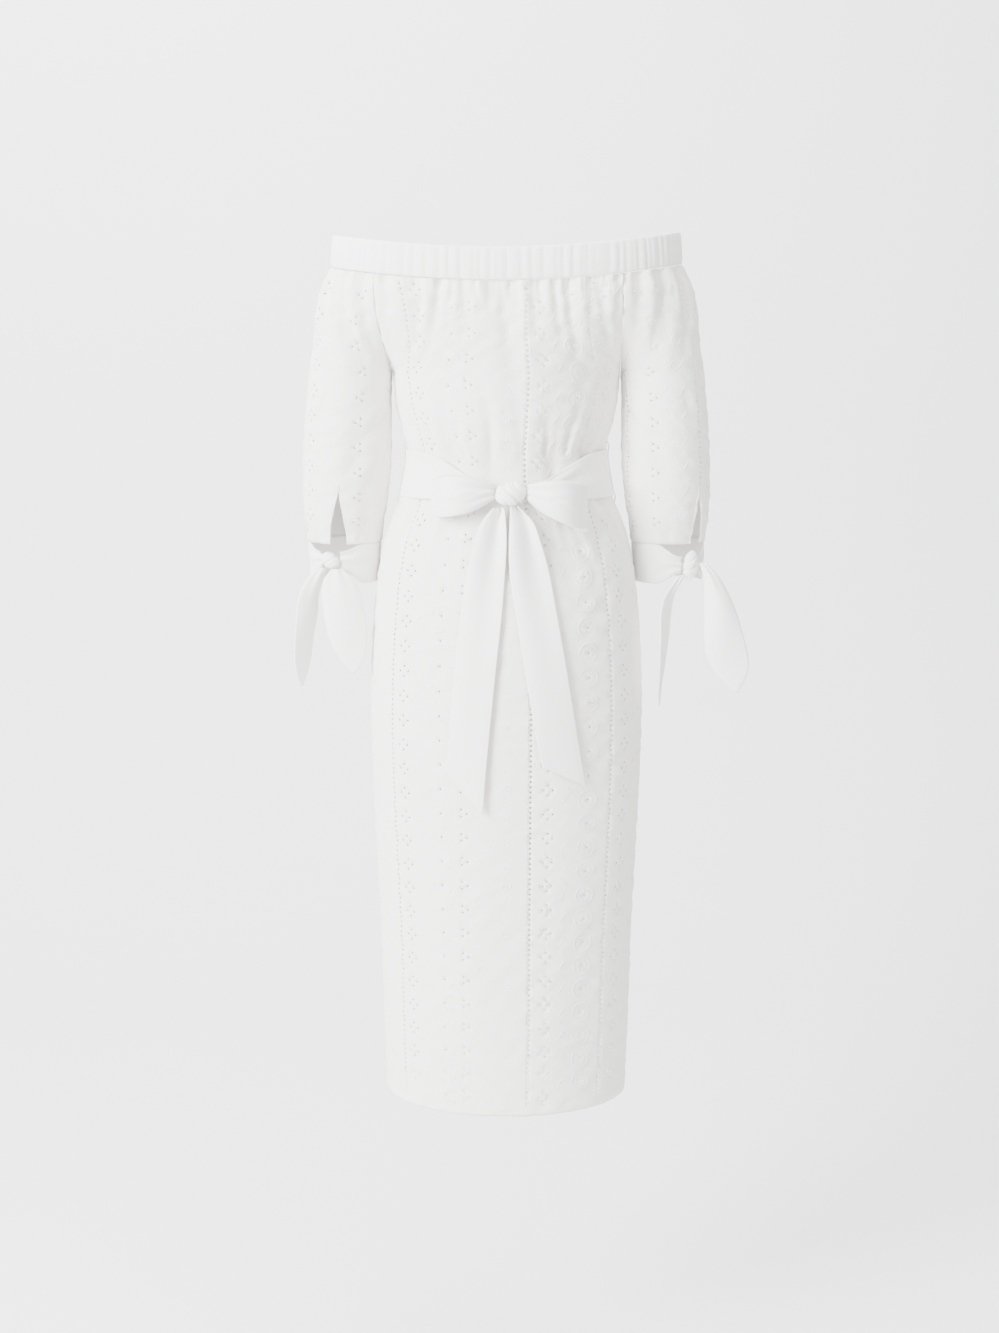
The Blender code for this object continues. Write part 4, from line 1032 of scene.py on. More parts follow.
def lay_out(columns, rows, holes, notch, drop):
    """Triangles over a flat layout with holes cut in it. Returns places and triangles."""
    grid_p, grid_q = np.meshgrid(columns, rows, indexing="ij")
    keep = np.ones_like(grid_p, bool)
    for hole in holes:
        middle, reach = hole.mean(0), np.abs(hole - hole.mean(0)).max(0) + HOLE_CLEARANCE
        i = slice(*np.searchsorted(columns, (middle[0] - reach[0], middle[0] + reach[0])))
        j = slice(*np.searchsorted(rows, (middle[1] - reach[1], middle[1] + reach[1])))
        keep[i, j] = False
    if notch is not None:
        keep &= ~notch["near"](grid_p, grid_q)
    grid = np.stack((grid_p[keep], grid_q[keep]), -1)
    places = [grid]
    edges, owner, first = [], [np.full(len(grid), -1)], len(grid)
    for n, hole in enumerate(holes):
        ids = np.arange(len(hole)) + first
        edges += list(zip(ids.tolist(), np.roll(ids, -1).tolist()))
        places.append(hole)
        owner.append(np.full(len(hole), n))
        first += len(hole)
    if notch is not None:
        for line in notch["lines"]:
            ids = np.arange(len(line)) + first
            edges += list(zip(ids[:-1].tolist(), ids[1:].tolist()))
            places.append(line)
            owner.append(np.full(len(line), -1))
            first += len(line)
    places, owner = np.concatenate(places), np.concatenate(owner)
    made = delaunay_2d_cdt([Vector(p) for p in places.tolist()], edges, [], 0, 1e-5)
    out = np.array([tuple(v) for v in made[0]])
    source = np.array([ids[0] if ids else -1 for ids in made[3]])
    owner = np.where(source >= 0, owner[source], -1)
    faces = np.array(made[2])
    whose = owner[faces]
    inside = (whose[:, 0] >= 0) & (whose[:, 0] == whose[:, 1]) & (whose[:, 1] == whose[:, 2])
    middle = out[faces].mean(1)
    return out, faces[~inside & ~drop(middle[:, 0], middle[:, 1])]


def steps(start, *spans):
    """Places from start through (end, distance) spans, the distances being the most allowed."""
    found = [start]
    for end, distance in spans:
        count = max(1, math.ceil(abs(end - found[-1]) / distance))
        found += list(np.linspace(found[-1], end, count + 1)[1:])
    return np.array(sorted(found))


def embroider(name, cloth, found, parts, flip):
    """All raised stitching of one piece of cloth, as one object."""
    points, faces, first = [], [], 0
    for motif in sorted({one[0] for one in found}):
        shape, triangles = parts[motif][1]
        us = np.array([one[1] for one in found if one[0] == motif])
        heights = np.array([one[2] for one in found if one[0] == motif])
        scale = cloth.metric(us, heights)
        u = us[:, None] + shape[None, :, 0] / scale[:, None]
        h = heights[:, None] + shape[None, :, 1]
        stand = np.broadcast_to(shape[None, :, 2], u.shape) - SUNK
        p, q = cloth.place(u.ravel(), h.ravel())
        points.append(cloth.worn(p, q, stand.ravel()))
        offsets = (np.arange(len(us)) * len(shape))[:, None, None] + first
        faces.append((triangles[None] + offsets).reshape(-1, 3))
        first += len(us) * len(shape)
    points, faces = np.concatenate(points), np.concatenate(faces)
    if flip:
        faces = faces[:, ::-1]
    return add_piece(name, points, faces, dress_finish("embroidery_thread"))


def strip(name, columns, rows, at, flat, cloth="plain_cloth"):
    """A strip of cloth: a grid whose shares across and along are placed by at."""
    shape = bmesh.new()
    bmesh.ops.create_grid(shape, x_segments=columns, y_segments=rows, size=0.5, calc_uvs=False)
    mesh = bpy.data.meshes.new(name)
    shape.to_mesh(mesh)
    shape.free()
    places = np.empty(len(mesh.vertices) * 3)
    mesh.vertices.foreach_get("co", places)
    places = places.reshape(-1, 3) + 0.5
    points = at(places[:, 0], places[:, 1])
    mesh.vertices.foreach_set("co", (points * MM).ravel())
    corners = np.empty(len(mesh.loops), np.int32)
    mesh.loops.foreach_get("vertex_index", corners)
    uv = mesh.uv_layers.new(name="layout")
    uv.data.foreach_set("uv", (places[corners][:, :2] * np.array(flat) * MM).ravel())
    mesh.materials.append(dress_finish(cloth))
    mesh.update()
    mesh.shade_smooth()
    return link(name, mesh)


def face_away(made, x, y):
    """Turns a piece's faces so that they point away from an upright line."""
    total = 0.0
    for face in made.data.polygons:
        away = face.center - Vector((x * MM, y * MM, face.center.z))
        total += face.area * face.normal.dot(away)
    if total < 0:
        made.data.flip_normals()


def stitch_row(name, at, length, lines):
    """Rows of small stitches, one at each place across that lines gives."""
    shape = bmesh.new()
    bmesh.ops.create_grid(shape, x_segments=2, y_segments=2, size=0.5)
    for vertex in shape.verts:
        t, s = vertex.co.x * 2, vertex.co.y * 2
        vertex.co = Vector((t * 1.05, s * 0.32, 0.42 * (1 - s * s) * (1 - 0.5 * t * t)))
    points, triangles = template(shape)
    count = int(length / STITCH_PITCH)
    middles = (np.arange(count) + 0.5) / count
    along = (middles[:, None] + points[None, :, 0] / length).ravel()
    beside, stand = (np.tile(points[:, i], count) for i in (1, 2))
    placed = np.concatenate([at(along, line, beside, stand) for line in lines])
    offsets = (np.arange(count * len(lines)) * len(points))[:, None, None]
    faces = (triangles[None] + offsets).reshape(-1, 3)
    return add_piece(name, placed, faces, dress_finish("embroidery_thread"))


def panel_top(side):
    return lambda across: cloth_top(np.sin(loop_angle(across, 0.0)), side)


PANELS = {
    BACK: ("back", BACK_FOLDS, BACK_CREASES, BACK_PATTERN, 7),
    FRONT: ("front", FRONT_FOLDS, FRONT_CREASES, FRONT_PATTERN, 19),
}


def make_panel(side):
    """The front or back of the dress, with its eyelets cut and its embroidery."""
    name, table, creases, pattern, seed = PANELS[side]
    cloth = Cloth(
        "panel", PANEL_HALF, HEM, PANEL_FLAT, panel_section, panel_top(side), table, creases,
        small_gathers(seed, PANEL_HALF, PANEL_GATHERS), side,
    )
    parts = motif_parts()
    found = spots(cloth, pattern)
    holes = cut_holes(cloth, found, parts)
    edge = PANEL_HALF + TURNED_IN
    columns = steps(-edge, (-PANEL_HALF, 1.5), (PANEL_HALF, 3.6), (edge, 1.5))
    rows = steps(
        TOP_EDGE + TURNED_IN, (TOP_EDGE, 1.5), (-90, 4.5), (-330, 6.5),
        (HEM + PLAIN_HEM + 3, 8.5), (HEM + PLAIN_HEM, 1.2), (HEM, 4.5), (HEM - 2, 1),
    )
    places, faces = lay_out(columns, rows, holes, None, lambda p, q: np.zeros(len(p), bool))
    if side == FRONT:
        faces = faces[:, ::-1]
    hem = np.where(places[:, 1] < HEM + PLAIN_HEM + 1.5, 0.5, 0.0)
    points = cloth.worn(places[:, 0], places[:, 1], hem)
    sheet = add_piece(
        name + "_cloth", points, faces, dress_finish("eyelet_cloth"), places
    )
    thicken(sheet, bpy.context.scene.dress_sizes.cloth_thickness / MM)
    worked = embroider(name + "_embroidery", cloth, found, parts, side == FRONT)

    def hem_at(along, share, beside, stand):
        p = (along * 2 - 1) * PANEL_HALF * 0.997
        return cloth.worn(p, HEM + 9.2 + beside, stand + 0.35)

    stitches = stitch_row(name + "_hem_stitches", hem_at, 480, (0,))
    if side == FRONT:
        stitches.data.flip_normals()
    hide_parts(name + "_panel")


def close_sleeve(sheet):
    """Joins a sleeve's two edges below the underarm."""
    shape = bmesh.new()
    shape.from_mesh(sheet.data)
    loose = [v for v in shape.verts if not v.link_faces]
    bmesh.ops.delete(shape, geom=loose, context="VERTS")
    limit = (UNDERARM + 0.5) * MM
    seam = [v for v in shape.verts if v.is_boundary and v.co.z < limit]
    bmesh.ops.remove_doubles(shape, verts=seam, dist=0.05 * MM)
    shape.to_mesh(sheet.data)
    shape.free()


def make_sleeve(side_name):
    """A raglan sleeve with its slit above the cuff."""
    arm = 1 if side_name == "right" else -1
    slit = dict(zip(SLIT_COLUMNS, next(row for row in SLITS if row[0] == side_name)))
    cloth = Cloth(
        "sleeve", SLEEVE_HALF, SLEEVE_END, SLEEVE_FLAT, sleeve_section,
        lambda across: sleeve_top(across, arm), SLEEVE_FOLDS, SLEEVE_CREASES,
        small_gathers(3 + arm, SLEEVE_HALF, SLEEVE_GATHERS), arm,
    )
    middle, apex = slit["angle"] / 180 * SLEEVE_HALF, slit["apex"]

    def half_open(q):
        t = smooth((apex - q) / (apex - SLEEVE_END)) ** 0.8
        return slit["opening"] / 2 * t * (q < apex)

    def near_slit(p, q, margin, above):
        return (np.abs(p - middle) < half_open(q) + margin) & (q < apex + above)

    def drop(p, q):
        return near_slit(p, q, 0.0, 0.0) | ((np.abs(p) > SLEEVE_HALF) & (q < UNDERARM))

    parts = motif_parts()
    pattern = RIGHT_SLEEVE_PATTERN if side_name == "right" else LEFT_SLEEVE_PATTERN
    found = spots(cloth, pattern, lambda p, q, margin: near_slit(p, q, margin + 1, margin))
    holes = cut_holes(cloth, found, parts)
    edge = SLEEVE_HALF + TURNED_IN
    columns = steps(-edge, (-SLEEVE_HALF, 1.5), (SLEEVE_HALF, 3.4), (edge, 1.5))
    rows = steps(
        TOP_EDGE + TURNED_IN, (TOP_EDGE, 1.5), (-90, 4.5), (UNDERARM, 6.0),
        (SLEEVE_END, 5.5), (SLEEVE_END - 2, 1),
    )
    heights = np.linspace(apex, SLEEVE_END - 2, 24)
    lines = [
        np.stack((middle + sign * (half_open(heights) + 0.01 * (heights < apex)), heights), -1)
        for sign in (-1, 1)
    ]
    lines[1] = lines[1][1:]
    notch = {"lines": lines, "near": lambda p, q: near_slit(p, q, 1.2, 1.2)}
    places, faces = lay_out(columns, rows, holes, notch, drop)
    if side_name == "left":
        faces = faces[:, ::-1]
    points = cloth.worn(places[:, 0], places[:, 1])
    sheet = add_piece(
        "sleeve_cloth_" + side_name, points, faces, dress_finish("eyelet_cloth"),
        places,
    )
    close_sleeve(sheet)
    thicken(sheet, bpy.context.scene.dress_sizes.cloth_thickness / MM)
    worked = embroider("sleeve_embroidery_" + side_name, cloth, found, parts, side_name == "left")

    def facing_at(across, along):
        q = mix(apex + 3, SLEEVE_END, np.abs(along * 2 - 1))
        sign = np.sign(along - 0.5 + 1e-6)
        p = middle + sign * (half_open(q) - 0.6 + across * 3.0)
        bulge = 0.6 - 1.1 * (across * 2 - 1) ** 2 - 1.6 * (across < 0.05)
        return cloth.worn(p, q, bulge)

    facing = strip(
        "slit_facing_" + side_name, 4, 60, facing_at, (3, 160), "eyelet_cloth"
    )
    thicken(facing, 0.3)
    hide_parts("sleeve_" + side_name)


PLEATS = 76
CASING_STITCHES = -0.86  # from -1 at the casing's lower edge to 1 at its top
PLEAT_SPACING = (9, 6, 7, 13, 6, 10, 16, 7, 5, 11, 8, 14, 6, 9)


def band_loop(share, width):
    """x, y and drop round the neckline: share 0 is the centre back and runs to the right."""
    angle = share * 2 * math.pi
    sine, cosine = np.sin(angle), np.cos(angle)
    side = np.where(cosine > 0, BACK, FRONT)
    depth = mix(BAND_FRONT, BAND_BACK, smooth(0.5 + 2 * cosine))
    return width * sine, side * depth * squared(sine), -band_drop(sine, side)


def band_out(share, width):
    x1, y1, _ = band_loop(share + 0.002, width)
    x0, y0, _ = band_loop(share - 0.002, width)
    dx, dy = x1 - x0, y1 - y0
    length = np.hypot(dx, dy)
    return dy / length, -dx / length


def pleat_stand(share, level):
    """How far the casing's gathers stand out; level is -1 at its lower edge and 1 at its top."""
    rng = random.Random(5)
    gaps = np.array([PLEAT_SPACING[i % len(PLEAT_SPACING)] for i in range(PLEATS)], float)
    ends = np.concatenate(([0.0], np.cumsum(gaps))) / gaps.sum()
    lean = np.array([rng.uniform(-1, 1) for _ in range(PLEATS)])
    depth = np.array([rng.uniform(0.55, 1.25) for _ in range(PLEATS)])
    fade = np.array([rng.uniform(-0.5, 0.5) for _ in range(PLEATS)])
    share = np.mod(share + 0.0006 * np.sin(level * 2.2 + share * 40), 1.0)
    k = np.clip(np.searchsorted(ends, share, side="right") - 1, 0, PLEATS - 1)
    t = (share - ends[k]) / (ends[k + 1] - ends[k])
    skew = np.clip(t, 0.001, 0.999) ** (1 + 0.35 * lean[k])
    swell = np.sin(math.pi * skew) ** 0.55 - 0.55
    inner = 0.35 * bell((t - 0.5 - 0.2 * lean[k]) / 0.1) * (gaps[k] > 9)
    return (swell - inner) * depth[k] * (1 + fade[k] * level) * 1.9


def make_casing():
    """The elastic casing: a gathered tube of plain cotton round the neckline."""
    shape = bmesh.new()
    bmesh.ops.create_grid(shape, x_segments=PLEATS * 9, y_segments=16, size=0.5)
    places = np.array([v.co for v in shape.verts])[:, :2] + 0.5
    share, turn = places[:, 0], places[:, 1] * 2 * math.pi
    level = np.sign(np.cos(turn)) * np.abs(np.cos(turn)) ** 0.35
    thick = np.sign(np.sin(turn)) * np.abs(np.sin(turn)) ** 0.45
    width = mix(BAND_WIDTH_BOTTOM, BAND_WIDTH_TOP, (level + 1) / 2)
    x, y, drop = band_loop(share, width)
    out_x, out_y = band_out(share, width)
    outer = np.clip(thick, 0, 1)
    stand = thick * (BAND_WALL / 2 - 0.4) + outer * pleat_stand(share, level) * (1 - 0.35 * level**4)
    stand = stand - 1.1 * bell((level - CASING_STITCHES) / 0.07) * outer
    points = np.stack((x + out_x * stand, y + out_y * stand, drop + level * BAND_HALF_HEIGHT), -1)
    for vertex, point in zip(shape.verts, points):
        vertex.co = point * MM
    uv = shape.loops.layers.uv.new("layout")
    for face in shape.faces:
        for corner in face.loops:
            i = corner.vert.index
            corner[uv].uv = (places[i, 0] * 1.6, places[i, 1] * 0.09)
    bmesh.ops.remove_doubles(shape, verts=shape.verts, dist=0.01 * MM)
    bmesh.ops.recalc_face_normals(shape, faces=shape.faces)
    mesh = bpy.data.meshes.new("casing")
    shape.to_mesh(mesh)
    shape.free()
    mesh.materials.append(dress_finish("plain_cloth"))
    mesh.shade_smooth()
    casing = link("casing", mesh)

    def row_at(along, level, beside, stand):
        width = mix(BAND_WIDTH_BOTTOM, BAND_WIDTH_TOP, (level + 1) / 2)
        x, y, drop = band_loop(along, width)
        out_x, out_y = band_out(along, width)
        out = BAND_WALL / 2 - 1.5 + stand + pleat_stand(along, level + 0 * along) * 0.9
        return np.stack((x + out_x * out, y + out_y * out, drop + level * BAND_HALF_HEIGHT + beside), -1)

    stitches = stitch_row("casing_stitches", row_at, 1090, (CASING_STITCHES,))
    face_away(stitches, 0, 0)
    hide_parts("neck_band")


def sash_edges(x):
    slope = smooth((SASH_SLOPE_START - np.abs(x - KNOT_X)) / (SASH_SLOPE_START - SASH_SLOPE_END))
    return mix(SASH_TOP, SASH_TOP_AT_KNOT, slope), mix(SASH_BOTTOM, SASH_BOTTOM_AT_KNOT, slope)


def sash_at(angle, share, proud):
    """Places on the sash: angle round the waist from the centre back, share from its top down."""
    turn = np.degrees(angle)
    points = np.zeros((len(turn), 3))
    for side in (BACK, FRONT):
        here = (np.abs(turn) <= 90) == (side == BACK)
        a, s = turn[here], share[here]
        across = a / 90 if side == BACK else np.copysign(2 - np.abs(a) / 90, a)
        level = np.full(len(a), (SASH_TOP + SASH_BOTTOM) / 2)
        x = panel_section(across, level, side)[0]
        top, bottom = sash_edges(x) if side == BACK else (SASH_TOP + 0 * x, SASH_BOTTOM + 0 * x)
        height = mix(top, bottom, s)
        gather = smooth((SASH_GATHER_START - np.abs(x - KNOT_X)) / SASH_GATHER_LENGTH) * (side == BACK)
        near = smooth((SASH_FAN_START - np.abs(x - KNOT_X)) / SASH_FAN_LENGTH) * (side == BACK)
        ripple = 1.6 * gather * np.cos(s * math.pi * 6) + 2.5 * gather
        fan = 1.5 * near * np.cos(s * math.pi * 5 + 1.3 + np.abs(x) / 60) * (1 - gather * 0.4)
        soft = 0.5 * np.sin(s * 5.5 + a / 13) * np.sin(a / 9 + s * 3)
        edge = -0.9 * both_edges(s, 0.0, 0.035) - 0.35 * both_edges(s, 0.09, 0.02)
        out_x, out_y, _ = outward(panel_section, across, height, side)
        px, py = panel_section(across, height, side)
        stand = SASH_CLEARANCE + proud[here] + ripple + fan + soft + edge + 0.3
        points[here] = np.stack((px - side * out_x * stand, py - side * out_y * stand, height), -1)
    return points


def sash_angle(share):
    start = math.radians(SASH_START)
    angle = math.pi - mix(start, 2 * math.pi - start, share)
    angle = np.copysign(math.pi - np.abs(angle), angle)
    return angle + math.radians(SASH_TURN) * (1 - np.abs(angle) / math.pi)


def make_sash():
    """The sash round the waist, drawn together where it runs into the knot."""

    def at(across, along):
        return sash_at(sash_angle(along), across, np.zeros(len(along)))

    def row_at(along, share, beside, stand):
        return sash_at(sash_angle(along), share + beside / 58, stand + 0.1)

    sheet = strip("sash_cloth", 40, 260, at, (58, 720))
    face_away(sheet, 0, 0)
    thicken(sheet, 1.3)
    stitches = stitch_row("sash_stitches", row_at, 700, (0.09, 0.91))
    face_away(stitches, 0, 0)
    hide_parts("sash")


def back_depth(x, height, proud):
    depth, width = body("back_depth", height) + proud, body("half_width", height) + proud
    return depth * np.sqrt(np.maximum(1 - (x / width) ** 2, 0.0))


def knot_mesh(name, size, lean, place, along, out, grooves, mirror=False):
    """A wound knot: an egg of cloth with slanting grooves between its windings."""
    shape = bmesh.new()
    bmesh.ops.create_icosphere(shape, subdivisions=5, radius=1.0)
    unit = np.array([v.co for v in shape.verts])
    x, y, z = unit.T
    slant = x + 0.28 * z + 0.10 * np.sin(z * 3.0)
    swell = np.ones(len(x))
    for where, depth, width in grooves:
        swell -= depth * bell((slant - where) / width) * smooth((y + 0.9) / 0.6)
    swell += 0.035 * np.sin(slant * 21 + z * 2) * (1 - 0.4 * np.abs(z)) + 0.03 * np.sin(z * 6 + x * 4)
    ends = 1 - 0.12 * np.abs(x) ** 3
    local = np.stack((x * size[0], y * size[1] * swell * ends, z * size[2] * swell * ends), -1)
    level = local[:, 0] * math.cos(lean) - local[:, 2] * math.sin(lean)
    upright = local[:, 0] * math.sin(lean) + local[:, 2] * math.cos(lean)
    points = np.array(place) + np.outer(level, along) + np.outer(local[:, 1], out)
    points[:, 2] += upright
    if mirror:
        points[:, 0] *= -1
    for vertex, point in zip(shape.verts, points):
        vertex.co = point * MM
    bmesh.ops.recalc_face_normals(shape, faces=shape.faces)
    mesh = bpy.data.meshes.new(name)
    shape.to_mesh(mesh)
    shape.free()
    uv = mesh.uv_layers.new(name="layout")
    corners = np.empty(len(mesh.loops), np.int32)
    mesh.loops.foreach_get("vertex_index", corners)
    flat = np.stack((slant * size[0], z * size[2] * 2), -1)
    uv.data.foreach_set("uv", (flat[corners] * MM).ravel())
    mesh.materials.append(dress_finish("plain_cloth"))
    mesh.shade_smooth()
    return link(name, mesh)


def loop_at(side_name, reach, share, inner):
    """Places on a bow loop's outer or inner leaf."""
    table = LOOPS[side_name]
    top, bottom, leaf_gap = (curve(table, reach, i) for i in range(1, len(LOOP_COLUMNS)))
    first, last = table[0][0], table[-1][0]
    w = (reach - first) / (last - first)
    height = mix(top, bottom, share)
    if side_name == "right":
        height = height - inner * 4.5 * share * w
    else:
        height = height + inner * 3.0 * (1 - share) * w
    sign = -1 if side_name == "left" else 1
    x = KNOT_X + sign * reach
    at_knot = back_depth(np.full_like(x, KNOT_X), np.full_like(x, KNOT_Z), LOOP_STIFF_CLEARANCE)
    stiff = at_knot - LOOP_BEND * (reach / LOOP_REACH) ** 1.6
    near = np.maximum(back_depth(x, height, LOOP_CLEARANCE), stiff)
    curl = (2 * share - 1) ** 2
    gap = leaf_gap * np.sqrt(np.maximum(1 - w**9, 0))
    drawn = (1 - w) ** 1.3
    fan = (share - 0.5) * mix(7.0, 5.0, w)
    ripple = 2.3 * drawn * np.cos(fan * 2.6 + 0.6) + 1.5 * np.sin(fan * 1.5 + 0.9 + w) * w * (1 - w) * 2.4
    crease = -2.4 * bell((share - mix(0.62, 0.30, w)) / 0.07) * w * (1 - w) * 3
    crease = crease - 1.8 * bell((share - mix(0.35, 0.72, w)) / 0.06) * (1 - w) * w * 3
    depth = near + (1 - inner) * (gap - 3.0 * curl * (1 - w**6)) + inner * 0.9 * curl
    depth = depth + (1 - inner) * (ripple + crease) + inner * 0.4 * ripple
    return np.stack((x, -depth, height), -1)


def make_loop(side_name):
    """One of the bow's two loops, from the knot out and back again."""
    first, last = LOOPS[side_name][0][0], LOOPS[side_name][-1][0]

    def at(across, along):
        t = along * 2
        inner = smooth((t - 0.97) / 0.06)
        w = np.sin(np.where(t < 1, t, 2 - t) * math.pi / 2) ** 0.9
        return loop_at(side_name, mix(first, last, w), across, inner)

    def row_at(along, share, beside, stand):
        points = loop_at(side_name, mix(first + 2, last - 2, along), share + beside / 46, 0.0)
        points[:, 1] -= stand + 0.45
        return points

    sheet = strip("bow_loop_cloth_" + side_name, 26, 92, at, (52, 165))
    if side_name == "left":
        sheet.data.flip_normals()
    thicken(sheet, 1.1, 0.0)
    stitches = stitch_row("bow_loop_stitches_" + side_name, row_at, 76, (0.07, 0.93))
    face_away(stitches, KNOT_X, 0)
    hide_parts("bow_loop_" + side_name)


def tail_at(side_name, across, along, proud=0.0):
    """Places on a tail of the sash, which hangs from the knot and ends in a slant."""
    rows = np.array(TAILS[side_name])
    order = np.arange(len(rows))
    place = along * (len(rows) - 1)
    height_left, height_right, left, right, fold = (
        curve(list(zip(order, rows[:, i])), place) for i in range(len(TAIL_COLUMNS))
    )
    height = mix(height_left, height_right, across)
    x = mix(left, right, across)
    crease = fold * np.sin(across * 2 * math.pi + 0.6)
    drawn = np.clip(1 - along * 2.6, 0, 1) ** 1.2
    crease = crease + 1.5 * drawn * np.cos(across * 4 * math.pi + 0.4)
    roll = 1.2 * np.sin(along * 9 + across * 2.2) * smooth(along * 3)
    roll = roll + 1.6 * np.sin(across * 5.2 - along * 2.5) * along
    edge = -0.5 * both_edges(across, 0.0, 0.03) - 0.3 * both_edges(across, 0.08, 0.018)
    near_knot = TAIL_STAND_AT_KNOT * smooth((height + 420) / 90)
    depth = back_depth(x, np.maximum(height, TAIL_FREE), TAIL_CLEARANCE) + near_knot
    return np.stack((x, -depth - crease - roll * 0.8 - edge - proud, height), -1)


def make_tail(side_name):
    """One of the sash's two tails."""

    def at(across, along):
        return tail_at(side_name, across, along)

    def row_at(along, share, beside, stand):
        return tail_at(side_name, share + beside / 50, along, stand + 0.45)

    sheet = strip("sash_tail_cloth_" + side_name, 36, 110, at, (52, 370))
    face_away(sheet, 0, 0)
    thicken(sheet, 1.1, 0.0)
    stitches = stitch_row("sash_tail_stitches_" + side_name, row_at, 345, (0.08, 0.92))
    face_away(stitches, 0, 0)
    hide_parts("sash_tail_" + side_name)


def make_bow():
    """The bow: two folded loops, two tails with slanting ends, and the knot that holds them."""
    for side_name in ("left", "right"):
        make_loop(side_name)
        make_tail(side_name)
    depth = float(back_depth(np.array([KNOT_X]), np.array([KNOT_Z]), KNOT_CLEARANCE)[0]) + KNOT_SIZE[1]
    knot = knot_mesh(
        "bow_knot", KNOT_SIZE, math.radians(KNOT_LEAN), (KNOT_X, -depth, KNOT_Z), (1.0, 0.0, 0.0),
        (0.0, -1.0, 0.0), KNOT_GROOVES,
    )
    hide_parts("sash_knot")


def cuff_at(knot, turn, share, proud, slit, mirror):
    """Places on a cuff: turn round it from its knot, share from its top edge down."""
    from_knot = np.degrees(np.minimum(turn, 2 * math.pi - turn))
    near = smooth((56 - from_knot) / 40)
    top = mix(CUFF_TOP, slit["knot_height"] + 11, near)
    bottom = mix(CUFF_BOTTOM, slit["knot_height"] - 11, near)
    height = mix(top, bottom, share)
    ripple = near * (2.0 + 1.4 * np.cos(share * math.pi * 5))
    fan = 1.1 * smooth((80 - from_knot) / 60) * np.cos(share * 11 + from_knot / 22)
    soft = 0.5 * np.sin(share * 5 + turn * 3.1) * np.sin(turn * 5 + share * 2)
    edge = -0.6 * both_edges(share, 0.0, 0.04) - 0.3 * both_edges(share, 0.1, 0.02)
    stand = proud + ripple + fan + soft + edge
    angle = knot + turn
    inner, outer = sleeve("inner", height), sleeve("outer", height)
    x = (inner + outer) / 2 + ((outer - inner) / 2 + stand) * np.cos(angle)
    y = sleeve("middle_depth", height) + (sleeve("half_depth", height) + stand) * np.sin(angle)
    return np.stack((-x if mirror else x, y, height), -1)


def cuff_knot_place(slit):
    """The middle of a cuff's knot, and the level direction out of the cuff there."""
    angle, height = math.radians(slit["knot_angle"]), float(slit["knot_height"])
    inner, outer = float(sleeve("inner", height)), float(sleeve("outer", height))
    half = (outer - inner) / 2 + slit["stand"]
    deep = float(sleeve("half_depth", height)) + slit["stand"]
    x = (outer + inner) / 2 + half * math.cos(angle)
    y = float(sleeve("middle_depth", height)) + deep * math.sin(angle)
    return (x, y, slit["knot_height"]), (math.cos(angle), math.sin(angle), 0.0)


def make_cuff(slit):
    """A strip of plain cotton round the sleeve's end, whose ends run into a small knot."""
    side_name = slit["side"]
    mirror = side_name == "left"
    knot, start = math.radians(slit["knot_angle"]), math.radians(slit["knot_reach"])

    def at(across, along, proud=0.6):
        turn = mix(start, 2 * math.pi - start, along)
        return cuff_at(knot, turn, across, proud, slit, mirror)

    def row_at(along, share, beside, stand):
        return at(share + beside / 53, along, stand + 0.6)

    sheet = strip("cuff_cloth_" + side_name, 28, 110, at, (53, 285))
    centre = -CUFF_X if mirror else CUFF_X
    face_away(sheet, centre, CUFF_Y)
    thicken(sheet, 1.2)
    stitches = stitch_row("cuff_stitches_" + side_name, row_at, 280, (0.1, 0.9))
    face_away(stitches, centre, CUFF_Y)
    place, out = cuff_knot_place(slit)
    tied = knot_mesh(
        "cuff_knot_cloth_" + side_name, CUFF_KNOT_SIZES[side_name], math.radians(slit["lean"]), place,
        (-out[1], out[0], 0.0), out, CUFF_KNOT_GROOVES, mirror,
    )
    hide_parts("cuff_" + side_name)
    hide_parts("cuff_knot_" + side_name)


def make_cuffs():
    for row in SLITS:
        make_cuff(dict(zip(SLIT_COLUMNS, row)))


def tie_at(name, across, along, proud=0.0):
    """Places on a cuff tie: a leaf-shaped end with a soft crease down its middle."""
    table = TIES[name]
    height = mix(table[0][0], table[-1][0], along)
    x, y, half, turn, crease = (curve(table, height, i) for i in range(1, len(TIE_COLUMNS)))
    turn = np.radians(turn)
    t = across * 2 - 1
    drawn = np.clip(1 - along * 3.2, 0, 1)
    fold = crease * (1 - 2 * t * t) + drawn * 1.3 * np.cos(t * 7)
    fold = fold + 1.5 * np.sin(t * 2.2 + along * 4.0) * smooth(along * 2.5) * smooth((1 - along) * 3)
    edge = -0.4 * bell((1 - np.abs(t)) / 0.06) - 0.25 * bell((0.84 - np.abs(t)) / 0.03)
    fold = fold + (edge + proud)
    px = x + np.cos(turn) * t * half + np.sin(turn) * fold
    py = y + np.sin(turn) * t * half - np.cos(turn) * fold
    return np.stack((px, py, height), -1)


def make_tie(name):
    """One of the two pointed ends below a cuff's knot."""

    def at(across, along):
        return tie_at(name, across, along)

    def row_at(along, share, beside, stand):
        return tie_at(name, share + beside / 46, 0.03 + 0.93 * along, stand + 0.4)

    sheet = strip(name + "_cloth", 26, 60, at, (46, 155))
    thicken(sheet, 1.1, 0.0)
    stitches = stitch_row(name + "_stitches", row_at, 140, (0.08, 0.92))
    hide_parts(name)


def make_ties():
    for name in TIES:
        make_tie(name)


CARRIER_TOP, CARRIER_BOTTOM, CARRIER_BREADTH = -243.0, -321.0, 6.0


